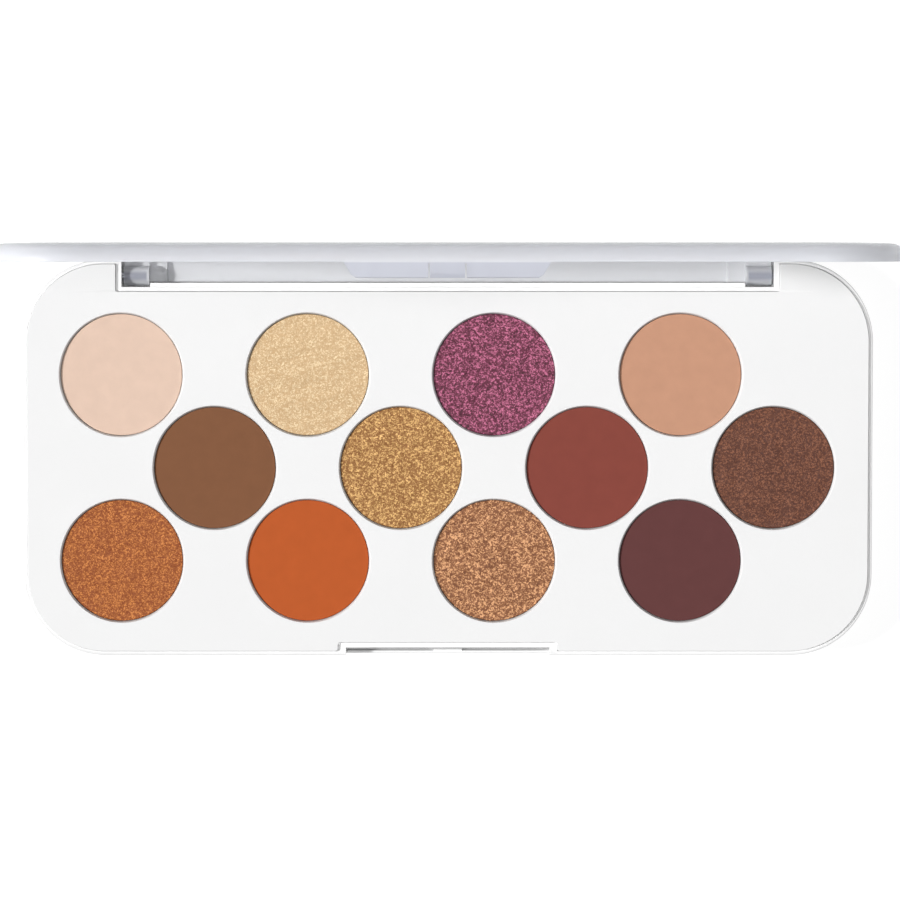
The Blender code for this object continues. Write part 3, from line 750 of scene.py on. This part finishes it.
# %% Powder relief
FINISHES = {
    "pale_peach": "matte", "pale_gold": "shimmer", "berry": "glitter", "tan": "matte",
    "brown": "matte", "gold": "glitter", "brick_red": "matte", "dark_brown": "shimmer",
    "copper": "shimmer", "orange": "matte", "rose_gold": "glitter", "plum": "matte",
}
RELIEF = {"matte": 0.010 * MM, "shimmer": 0.018 * MM, "glitter": 0.028 * MM}
WAVES, SHORT_WAVE, LONG_WAVE = 14, 2, 9          # how many, and their lengths
SINK = 1.5                                       # lowers the relief, in its own heights


def cake_relief(seed, height, radius):
    """Relief of a cake's top: waves of 2 to 9 mm, faded out over the last millimetre."""
    rng = np.random.default_rng(seed)
    turn = rng.uniform(0, 2 * np.pi, WAVES)
    wave = 2 * np.pi / (rng.uniform(SHORT_WAVE, LONG_WAVE, WAVES) * MM)
    phase = rng.uniform(0, 2 * np.pi, WAVES)

    def relief(x, y):
        along = x[..., None] * np.cos(turn) + y[..., None] * np.sin(turn)
        waves = np.sin(along * wave + phase).sum(axis=-1) / np.sqrt(WAVES)
        fade = np.clip((radius - np.hypot(x, y)) / MM, 0, 1)
        return height * (waves - SINK) * fade
    return relief


print("finishes", {kind: list(FINISHES.values()).count(kind) for kind in RELIEF})

# %% Build pans and cakes
TIN_SHEET = 0.3
CAKE_LAP, CAKE_LIFT, CAKE_STEP, CAKE_ROUND = 0.05, 0.1, 0.5, 0.22
SIDE_STEPS, EDGE_STEPS, TOP_STEPS = 6, 8, 60


def build_pan(shade, place):
    """A cup turned from rows: outside from the middle of the foot up, then the inside."""
    low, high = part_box(f"pan_{shade}")
    outer, foot, top = (high.x - low.x) / 2 / MM, low.z / MM, high.z / MM
    inner, sheet = outer - TIN_SHEET, foot + TIN_SHEET
    line = rounded_rows([
        (0, foot, 0), (outer, foot, 0.6), (outer, top, 0.1), (inner, top, 0.1),
        (inner, sheet, 0.4), (0, sheet, 0)])
    return turned(f"tin_{shade}", line[:, 0], line[:, 1], place)


def build_cake(seed, shade, place):
    """A cake that fills its cup and laps its lip, with a round edge and the relief on top."""
    low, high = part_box(f"powder_{shade}")
    outer, foot, top = (high.x - low.x) / 2 / MM + CAKE_LAP, low.z / MM, high.z / MM
    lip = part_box(f"pan_{shade}")[1].z / MM + CAKE_LIFT
    side = rounded_rows([
        (0, foot, 0), (outer - CAKE_STEP, foot, 0), (outer - CAKE_STEP, lip, 0),
        (outer, lip, 0.08), (outer, top, 0)], SIDE_STEPS)[:-SIDE_STEPS]
    edge = rounded_rows([(outer, lip, 0), (outer, top, CAKE_ROUND), (0, top, 0)], EDGE_STEPS)
    edge = edge[EDGE_STEPS:-EDGE_STEPS]
    flat = np.linspace(edge[-1, 0], 0, TOP_STEPS)[1:]
    radius = np.concatenate([side[:, 0], edge[:, 0], flat])
    height = np.concatenate([side[:, 1], edge[:, 1], np.full(len(flat), top * MM)])
    on_top = np.arange(len(radius)) >= len(side) + len(edge) - 1
    relief = cake_relief(seed, RELIEF[FINISHES[shade]], outer * MM)
    return turned(
        f"cake_{shade}", radius, height, place, steps=160,
        relief=lambda x, y: relief(x, y) * on_top)


tins = {shade: build_pan(shade, place) for shade, place in pan_places.items()}
cakes = {
    shade: build_cake(seed, shade, place)
    for seed, (shade, place) in enumerate(pan_places.items())}
print("cakes", len(cakes), "faces each", len(cakes[SHADES[0]].data.polygons))

# %% [markdown]
# ## Finishes
#
# Colours are given as they look on a screen and turned into the linear values that the
# shader works with. Small helpers each add one node, link its inputs and hand back its
# result, so that a material reads from top to bottom.


# %% Screen colours
def linear(colour):
    """Screen colour, 0 to 255, to a linear RGBA value."""
    c = np.asarray(colour, float) / 255
    c = np.where(c <= 0.04045, c / 12.92, ((c + 0.055) / 1.055) ** 2.4)
    return (*c.tolist(), 1.0)


print("mid grey is", round(linear((128, 128, 128))[0], 3), "in linear light")


# %% Node helpers
def add_node(tree, kind, settings=None, **inputs):
    """Adds a node; settings are its properties, inputs are values or output sockets.

    An input is called by its name, with _ for a space, or by _ and its number.
    """
    node = tree.nodes.new(kind)
    for key, value in (settings or {}).items():
        setattr(node, key, value)
    for key, value in inputs.items():
        label = int(key[1:]) if key[0] == "_" else key.replace("_", " ")
        if isinstance(value, bpy.types.NodeSocket):
            tree.links.new(value, node.inputs[label])
        else:
            node.inputs[label].default_value = value
    return node


def own_place(tree):
    """Where a point is on the object itself."""
    return add_node(tree, "ShaderNodeTexCoord").outputs["Object"]


def noise(tree, place, scale, detail=2.0, distortion=0.0):
    """Cloudy noise, about 0.5 on average."""
    node = add_node(
        tree, "ShaderNodeTexNoise", Vector=place, Scale=scale, Detail=detail,
        Distortion=distortion)
    return node.outputs["Fac"]


def remap(tree, value, start, end, low=0.0, high=1.0):
    """Turns start to end evenly into low to high, and holds the value there beyond them."""
    node = add_node(
        tree, "ShaderNodeMapRange", Value=value, From_Min=start, From_Max=end,
        To_Min=low, To_Max=high)
    return node.outputs["Result"]


def calculate(tree, operation, *values):
    """One step of arithmetic on one or two values."""
    inputs = {f"_{number}": value for number, value in enumerate(values)}
    return add_node(tree, "ShaderNodeMath", {"operation": operation}, **inputs).outputs[0]


def mix_colours(tree, amount, first, second, blend="MIX"):
    """The first colour, changed towards the second, or multiplied by it, by the amount."""
    node = add_node(
        tree, "ShaderNodeMix", {"data_type": "RGBA", "blend_type": blend},
        _0=amount, _6=first, _7=second)
    return node.outputs["Result"]


def bump(tree, strength, distance, height):
    """A normal that leans as if the surface had this height."""
    node = add_node(
        tree, "ShaderNodeBump", Strength=strength, Distance=distance, Height=height)
    return node.outputs["Normal"]


print("node helpers", [helper.__name__ for helper in (noise, remap, calculate, mix_colours, bump)])

# %% [markdown]
# An effect that several materials share is a node group, built once. Each group here takes
# its own settings and gives a colour, a roughness and a normal, and the shader itself stays
# in the material.

# %% Groups and their materials
FLOAT, COLOUR, VECTOR = "NodeSocketFloat", "NodeSocketColor", "NodeSocketVector"
RESULTS = {"Colour": COLOUR, "Roughness": FLOAT, "Normal": VECTOR}
SHADER_INPUTS = {"Colour": "Base Color", "Roughness": "Roughness", "Normal": "Normal"}


def new_group(name, inputs):
    """A shader node group with the named inputs and the three results."""
    tree = bpy.data.node_groups.new(name, "ShaderNodeTree")
    for label, kind, value in inputs:
        socket = tree.interface.new_socket(label, in_out="INPUT", socket_type=kind)
        socket.default_value = value
    for label, kind in RESULTS.items():
        tree.interface.new_socket(label, in_out="OUTPUT", socket_type=kind)
    settings = tree.nodes.new("NodeGroupInput").outputs
    return tree, settings, tree.nodes.new("NodeGroupOutput")


def put_out(tree, sink, colour, roughness, normal):
    """Links a group's three results to its outputs."""
    for label, result in zip(RESULTS, (colour, roughness, normal)):
        tree.links.new(result, sink.inputs[label])
    return tree


def group_material(name, group, values, shader_values):
    """A Principled material whose colour, roughness and normal come from a group."""
    material = bpy.data.materials.new(name)
    material.use_nodes = True
    tree = material.node_tree
    shader = tree.nodes["Principled BSDF"]
    surface = tree.nodes.new("ShaderNodeGroup")
    surface.node_tree = group
    for key, value in values.items():
        surface.inputs[key].default_value = value
    for label, socket in SHADER_INPUTS.items():
        tree.links.new(surface.outputs[label], shader.inputs[socket])
    for key, value in shader_values.items():
        shader.inputs[key].default_value = value
    return material


print("group results", list(RESULTS))

# %% [markdown]
# ### Moulded plastic
#
# A polished mould still leaves a faint orange-peel waviness and tiny differences in gloss.
# One group makes both, for the tray, the deck and the lid, from two sizes of noise. The
# adhesive is a fine foam, which the same group gives with a deeper and finer grain.


# %% Moulded plastic group
def make_moulded_group():
    """Fine grain for the gloss and the bump, and wide clouds for the tone."""
    tree, settings, sink = new_group(
        "moulded surface",
        [("Colour", COLOUR, (0.8, 0.8, 0.8, 1)), ("Gloss", FLOAT, 0.3),
         ("Grain Scale", FLOAT, 2500.0), ("Depth", FLOAT, 0.02)])
    place = own_place(tree)
    grain = noise(tree, place, settings["Grain Scale"], detail=3.0)
    cloud = noise(tree, place, 60.0)
    shade = remap(tree, cloud, 0.3, 0.7, 0.985, 1.0)
    tone = mix_colours(tree, 1.0, settings["Colour"], shade, "MULTIPLY")
    drift = remap(tree, grain, 0.25, 0.75, -0.03, 0.03)
    gloss = calculate(tree, "ADD", settings["Gloss"], drift)
    return put_out(tree, sink, tone, gloss, bump(tree, settings["Depth"], 0.4 * MM, grain))


moulded_group = make_moulded_group()
print("moulded surface nodes", len(moulded_group.nodes))

# %% Plastics
white_plastic = group_material(
    "white gloss plastic", moulded_group,
    {"Colour": linear((222, 222, 222)), "Gloss": 0.22, "Grain Scale": 1500.0, "Depth": 0.03},
    {"IOR": 1.5, "Coat Weight": 0.15, "Coat Roughness": 0.1})
grey_plastic = group_material(
    "pale grey satin plastic", moulded_group,
    {"Colour": linear((224, 224, 224)), "Gloss": 0.55, "Grain Scale": 3500.0, "Depth": 0.06},
    {"IOR": 1.5})
frosted_plastic = group_material(
    "frosted clear plastic", moulded_group,
    {"Colour": linear((249, 250, 253)), "Gloss": 0.38, "Grain Scale": 400.0, "Depth": 0.01},
    {"IOR": 1.49, "Transmission Weight": 0.52})
foam_adhesive = group_material(
    "foam adhesive", moulded_group,
    {"Colour": linear((222, 221, 216)), "Gloss": 0.7, "Grain Scale": 6000.0, "Depth": 0.5},
    {"IOR": 1.4})
print("plastics", white_plastic.name, grey_plastic.name, frosted_plastic.name)

# %% [markdown]
# ### Painted shade on the lid
#
# Frosted plastic looks deeper where light has more of it to cross, and that shade is
# painted into its colour here. Seen along the open lid, that is towards its free edge and
# in the latch tab, and each knuckle gets a painted dim band where the steel pin inside it
# stops the light. Ramps along the lid's own axes place all three.

# %% Paint the lid's shade
# Painted shade: colours that darken the lid where light crosses more plastic, and over the pins.
PAINTED_SHADE, PAINTED_PIN_SHADE = linear((216, 218, 226)), linear((192, 194, 204))
FREE_EDGE_Z, BODY_SHADE = 85 * MM, 0.3            # height of the open lid, and painted shade there
UPPER_HALF = 40 * MM, 50 * MM
RIM_FACE_Y = AXIS_Y + lid_edge * MM              # the open lid's rim faces the front here
TAB_FACE = RIM_FACE_Y + 0.19 * MM, RIM_FACE_Y - 0.21 * MM
BEYOND_LUG = (KNUCKLE_X + 0.3) * MM, (KNUCKLE_X + 0.7) * MM
PIN_MIDDLE_Y, PIN_BAND = AXIS_Y - 0.1 * MM, (1.4 * MM, 0.4 * MM)
LOW_DOWN = 10 * MM, 9 * MM


def paint_lid_shade(material):
    """Multiplies the colour by a painted shade in part, and over the pins by a darker one.

    Body: the painted shade rises evenly from 0 at the hinge to 0.3 at the free edge. Tab:
    it is 1 where the upper half of the open lid stands out in front of its rim. Pins: it is
    1 where three ramps agree, beyond the lug along X, near the axis along Y, and low down.
    """
    tree = material.node_tree
    base = tree.nodes["Principled BSDF"].inputs["Base Color"]
    surface = base.links[0].from_socket
    parts = add_node(tree, "ShaderNodeSeparateXYZ", Vector=own_place(tree)).outputs
    body = remap(tree, parts["Z"], 0.0, FREE_EDGE_Z, 0.0, BODY_SHADE)
    upper, front = remap(tree, parts["Z"], *UPPER_HALF), remap(tree, parts["Y"], *TAB_FACE)
    shade_share = calculate(tree, "MAXIMUM", body, calculate(tree, "MULTIPLY", upper, front))
    # Painted shade, deeper towards the free edge and in the tab.
    shaded = mix_colours(tree, shade_share, surface, PAINTED_SHADE, "MULTIPLY")
    # Painted shade of each pin, as if seen through its knuckle.
    beyond = remap(tree, calculate(tree, "ABSOLUTE", parts["X"]), *BEYOND_LUG)
    off_axis = calculate(tree, "SUBTRACT", parts["Y"], PIN_MIDDLE_Y)
    near = remap(tree, calculate(tree, "ABSOLUTE", off_axis), *PIN_BAND)
    low = remap(tree, parts["Z"], *LOW_DOWN)
    pin_shade = calculate(tree, "MULTIPLY", calculate(tree, "MULTIPLY", beyond, near), low)
    tree.links.new(mix_colours(tree, pin_shade, shaded, PAINTED_PIN_SHADE, "MULTIPLY"), base)


paint_lid_shade(frosted_plastic)
print("frosted plastic nodes", len(frosted_plastic.node_tree.nodes))

# %% [markdown]
# ### Metals
#
# The pins are ground steel and the cups drawn tinplate, with very fine marks in tone and
# height. Noise with a little distortion gives such marks. The mirror is nearly perfect, so
# it has no relief, and only a trace of haze keeps it from looking drawn.


# %% Metal group
def make_metal_group():
    """Fine marks for the tone and the bump, and wide clouds for the haze."""
    tree, settings, sink = new_group(
        "worked metal",
        [("Colour", COLOUR, (0.6, 0.6, 0.6, 1)), ("Gloss", FLOAT, 0.25),
         ("Mark Scale", FLOAT, 4000.0), ("Depth", FLOAT, 0.1)])
    place = own_place(tree)
    marks = noise(tree, place, settings["Mark Scale"], detail=4.0, distortion=0.4)
    haze = noise(tree, place, 90.0)
    shade = remap(tree, marks, 0.2, 0.8, 0.9, 1.0)
    tone = mix_colours(tree, 1.0, settings["Colour"], shade, "MULTIPLY")
    drift = remap(tree, haze, 0.3, 0.7, 0.0, 0.04)
    gloss = calculate(tree, "ADD", settings["Gloss"], drift)
    return put_out(tree, sink, tone, gloss, bump(tree, settings["Depth"], 0.1 * MM, marks))


metal_group = make_metal_group()
print("worked metal nodes", len(metal_group.nodes))

# %% Metals
pin_steel = group_material(
    "ground pin steel", metal_group,
    {"Colour": linear((176, 178, 186)), "Gloss": 0.22, "Mark Scale": 5000.0, "Depth": 0.15},
    {"Metallic": 1.0})
tinplate = group_material(
    "drawn tinplate", metal_group,
    {"Colour": linear((205, 205, 208)), "Gloss": 0.25, "Mark Scale": 3000.0, "Depth": 0.1},
    {"Metallic": 1.0})
mirror_silver = group_material(
    "mirror silver", metal_group,
    {"Colour": linear((240, 242, 244)), "Gloss": 0.015, "Mark Scale": 9000.0, "Depth": 0.0},
    {"Metallic": 1.0})
print("metals", pin_steel.name, tinplate.name, mirror_silver.name)

# %% [markdown]
# ### Pressed powder
#
# Matte shades are a dense, even pigment: the colour hardly varies, and light spreads
# softly over fine grain. Shimmer and glitter shades also hold flakes of mica. Each flake
# is a cell of a Voronoi pattern with its own tone and its own tilt, so that some flakes
# flash and others stay dark, and the brightest cells are painted glints. Fine cells make
# shimmer, and larger ones glitter.


# %% Matte powder group
def make_matte_group():
    """Fine grain and soft clouds, added up, for the tone, and the grain for the bump."""
    tree, settings, sink = new_group(
        "matte powder",
        [("Colour", COLOUR, (0.5, 0.3, 0.2, 1)), ("Grain Scale", FLOAT, 9000.0),
         ("Depth", FLOAT, 0.25)])
    place = own_place(tree)
    grain = noise(tree, place, settings["Grain Scale"], detail=3.0)
    cloud = noise(tree, place, 350.0, detail=3.0)
    shade = remap(tree, calculate(tree, "ADD", grain, cloud), 0.6, 1.4, 0.94, 1.05)
    tone = mix_colours(tree, 1.0, settings["Colour"], shade, "MULTIPLY")
    gloss = remap(tree, grain, 0.0, 1.0, 0.8, 0.95)
    return put_out(tree, sink, tone, gloss, bump(tree, settings["Depth"], 0.05 * MM, grain))


matte_group = make_matte_group()
print("matte powder nodes", len(matte_group.nodes))

# %% Mica powder group
COARSE_SHARE = 0.35                              # of the brightness, from the larger flakes
DARK_TO_MIDDLE, MIDDLE_TO_GLINT = (0.1, 0.48), (0.52, 0.84)


def make_mica_group():
    """Cells in two sizes set the tone, with painted glints on the brightest, and the fine ones also
    the tilt and gloss.
    """
    tree, settings, sink = new_group(
        "mica powder",
        [("Dark", COLOUR, (0.2, 0.1, 0.05, 1)), ("Middle", COLOUR, (0.4, 0.2, 0.1, 1)),
         ("Bright", COLOUR, (0.8, 0.5, 0.3, 1)), ("Flake Scale", FLOAT, 3500.0),
         ("Tilt", FLOAT, 0.5)])
    place = own_place(tree)
    scale = settings["Flake Scale"]
    cells = [
        add_node(tree, "ShaderNodeTexVoronoi", Vector=place, Scale=size).outputs["Color"]
        for size in (scale, calculate(tree, "MULTIPLY", scale, 0.5))]
    fine, coarse = (add_node(tree, "ShaderNodeSeparateColor", Color=c).outputs for c in cells)
    brightness = add_node(
        tree, "ShaderNodeMix", {"data_type": "FLOAT"}, _0=COARSE_SHARE, _2=fine["Red"],
        _3=coarse["Red"]).outputs["Result"]
    lower = remap(tree, brightness, *DARK_TO_MIDDLE)
    upper = remap(tree, brightness, *MIDDLE_TO_GLINT)
    tone = mix_colours(tree, lower, settings["Dark"], settings["Middle"])
    # Painted glints: the brightest cells turn towards a light colour, as if they caught the lamp.
    tone = mix_colours(tree, upper, tone, settings["Bright"])

    def vector(operation, first, **others):
        node = add_node(
            tree, "ShaderNodeVectorMath", {"operation": operation}, _0=first, **others)
        return node.outputs["Vector"]

    centred = vector("SUBTRACT", cells[0], _1=(0.5, 0.5, 0.5))
    lean = vector("SCALE", centred, Scale=settings["Tilt"])
    upright = add_node(tree, "ShaderNodeNewGeometry").outputs["Normal"]
    normal = vector("NORMALIZE", vector("ADD", upright, _1=lean))
    gloss = remap(tree, fine["Green"], 0.0, 1.0, 0.3, 0.6)
    return put_out(tree, sink, tone, gloss, normal)


mica_group = make_mica_group()
print("mica powder nodes", len(mica_group.nodes))

# %% Powder materials
MATTE_COLOURS = {
    "pale_peach": (213, 186, 168), "tan": (187, 140, 114), "brown": (122, 81, 55),
    "brick_red": (127, 63, 53), "orange": (177, 84, 37), "plum": (93, 54, 53),
}
MICA_COLOURS = {                                 # dark and middle flakes, and painted glints
    "pale_gold": ((185, 153, 111), (191, 160, 120), (229, 206, 167)),
    "berry": ((63, 19, 35), (102, 38, 62), (208, 117, 152)),
    "gold": ((125, 80, 37), (151, 106, 57), (242, 194, 126)),
    "dark_brown": ((70, 33, 21), (87, 47, 30), (146, 94, 69)),
    "copper": ((126, 59, 19), (144, 76, 29), (207, 130, 65)),
    "rose_gold": ((104, 61, 37), (139, 89, 55), (241, 181, 131)),
}
FLAKE_SCALE = {"shimmer": 5200.0, "glitter": 4400.0}
FLAKE_TILT = {"shimmer": 0.2, "glitter": 0.3}


def powder_material(shade):
    """Matte or mica powder in one shade."""
    kind = FINISHES[shade]
    name = shade.replace("_", " ") + " " + kind + " powder"
    if kind == "matte":
        return group_material(
            name, matte_group, {"Colour": linear(MATTE_COLOURS[shade])},
            {"Specular IOR Level": 0.2, "Sheen Weight": 0.05})
    dark, middle, glint = (linear(c) for c in MICA_COLOURS[shade])
    return group_material(
        name, mica_group,
        {"Dark": dark, "Middle": middle, "Bright": glint,
         "Flake Scale": FLAKE_SCALE[kind], "Tilt": FLAKE_TILT[kind]},
        {"Metallic": 0.25, "Specular IOR Level": 0.4})


powders = {shade: powder_material(shade) for shade in SHADES}
print("powders", [powder.name for powder in powders.values()])

# %% [markdown]
# ## Assembly
#
# Each piece now gets its material and the body it moves with. The solid model's node that
# it stands for is hidden. The adhesive discs under the pans keep the solid model's own
# shape, and only get a better material.

# %% Dress the pieces
finish_piece(tray, "base", white_plastic, ["base_shell"])
finish_piece(stop_rib, "base", white_plastic)
finish_piece(deck, "base", grey_plastic, ["deck_plate"])
for well in wells:
    finish_piece(well, "base", grey_plastic)
for shade in SHADES:
    finish_piece(tins[shade], "base", tinplate, [f"pan_{shade}"])
    finish_piece(cakes[shade], "base", powders[shade], [f"powder_{shade}"])
    disc = frame["nodes"][f"pan_glue_{shade}"]
    disc.data.materials.clear()
    disc.data.materials.append(foam_adhesive)
for side, pin in pins.items():
    finish_piece(pin, "base", pin_steel, [f"hinge_pin_{side}"])
finish_piece(lid, "lid", frosted_plastic, ["lid_shell"])
finish_piece(mirror, "lid", mirror_silver, ["mirror"])
finish_piece(mirror_sheet, "lid", foam_adhesive, ["mirror_glue"])

# %% [markdown]
# ## Floor, light and camera
#
# The palette lies on a white light table: the floor glows, so that it stays pale where the
# tray shades it. A lamp on the left gives most of the light and draws the thin dark
# crescents in the openings. A softbox overhead and a dim white sky fill the shade, and a
# weak low lamp on the right lifts the far end of the lid. The camera stands high above the
# rear edge, in line with the open lid, and looks a little forward on to the deck.

# %% Floor
WHITE = (1, 1, 1, 1)
FLOOR_HALF, FLOOR_Z, FLOOR_GLOW = 3.0, -0.2 * MM, 0.9


def build_floor():
    """A square sheet just below the tray, with faint clouds in its tone."""
    corners = [(-FLOOR_HALF, -FLOOR_HALF, 0), (FLOOR_HALF, -FLOOR_HALF, 0),
               (FLOOR_HALF, FLOOR_HALF, 0), (-FLOOR_HALF, FLOOR_HALF, 0)]
    table = mesh_object("floor", np.array(corners), [(0, 1, 2, 3)])
    material = bpy.data.materials.new("white table")
    material.use_nodes = True
    tree = material.node_tree
    shader = tree.nodes["Principled BSDF"].inputs
    cloud = noise(tree, own_place(tree), 3.0)
    tree.links.new(remap(tree, cloud, 0.0, 1.0, 0.15, 0.19), shader["Base Color"])
    shader["Roughness"].default_value = 0.8
    shader["Specular IOR Level"].default_value = 0.1
    shader["Emission Color"].default_value = WHITE
    shader["Emission Strength"].default_value = FLOOR_GLOW
    table.data.materials.append(material)
    table.location.z = FLOOR_Z
    table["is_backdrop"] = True


build_floor()
print("floor half size m", FLOOR_HALF)

# %% Light
SKY_STRENGTH = 0.18
SOFTBOX_SIZE, SOFTBOX_WATTS, SOFTBOX_HIGH = 0.6, 13.6, 2.5
LAMPS = {"left lamp": (3.95, 5, -52), "right fill": (0.55, 20, 77)}   # strength, spread, lean


def add_light(name, kind):
    """A light and the object that holds it."""
    light = bpy.data.lights.new(name, kind)
    holder = bpy.data.objects.new(name, light)
    bpy.context.scene.collection.objects.link(holder)
    return light, holder


def build_light():
    """A white sky, a square softbox overhead, and one far lamp on each side."""
    world = bpy.data.worlds.new("studio")
    world.use_nodes = True
    sky = world.node_tree.nodes["Background"].inputs
    sky["Strength"].default_value = SKY_STRENGTH
    sky["Color"].default_value = WHITE
    bpy.context.scene.world = world
    softbox, hanger = add_light("overhead softbox", "AREA")
    softbox.shape, softbox.size, softbox.energy = "SQUARE", SOFTBOX_SIZE, SOFTBOX_WATTS
    hanger.location.z = SOFTBOX_HIGH
    for name, (strength, spread, lean) in LAMPS.items():
        lamp, holder = add_light(name, "SUN")
        lamp.energy, lamp.angle = strength, math.radians(spread)
        holder.rotation_euler.y = math.radians(lean)


build_light()
bpy.context.scene.view_settings.view_transform = "Standard"
print("lamps", list(LAMPS))

# %% Camera
LENS, SENSOR, NEAR, FAR = 156.1, 36, 0.05, 10
CAMERA_PLACE = np.array([0.5, 48.6, 842.0]) * MM
CAMERA_AIM = np.array([0.52, 1.73, DECK_Z / MM]) * MM


def build_camera():
    """A long lens, tipped forward about X by the angle whose tangent is dy over dz."""
    camera = bpy.data.cameras.new("camera")
    camera.lens, camera.sensor_width = LENS, SENSOR
    camera.clip_start, camera.clip_end = NEAR, FAR
    holder = bpy.data.objects.new("camera", camera)
    back = CAMERA_PLACE - CAMERA_AIM
    tilt = math.atan2(back[1], back[2])
    holder.location = CAMERA_PLACE
    holder.rotation_euler.x = -tilt
    bpy.context.scene.collection.objects.link(holder)
    bpy.context.scene.camera = holder
    print("camera tilt in degrees", round(math.degrees(tilt), 2))


build_camera()

# %% Print how much the size grew
new_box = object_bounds()
growth = np.array(new_box) - np.array(cad_box)
print("size grew by mm", (growth / MM).round(2).tolist())
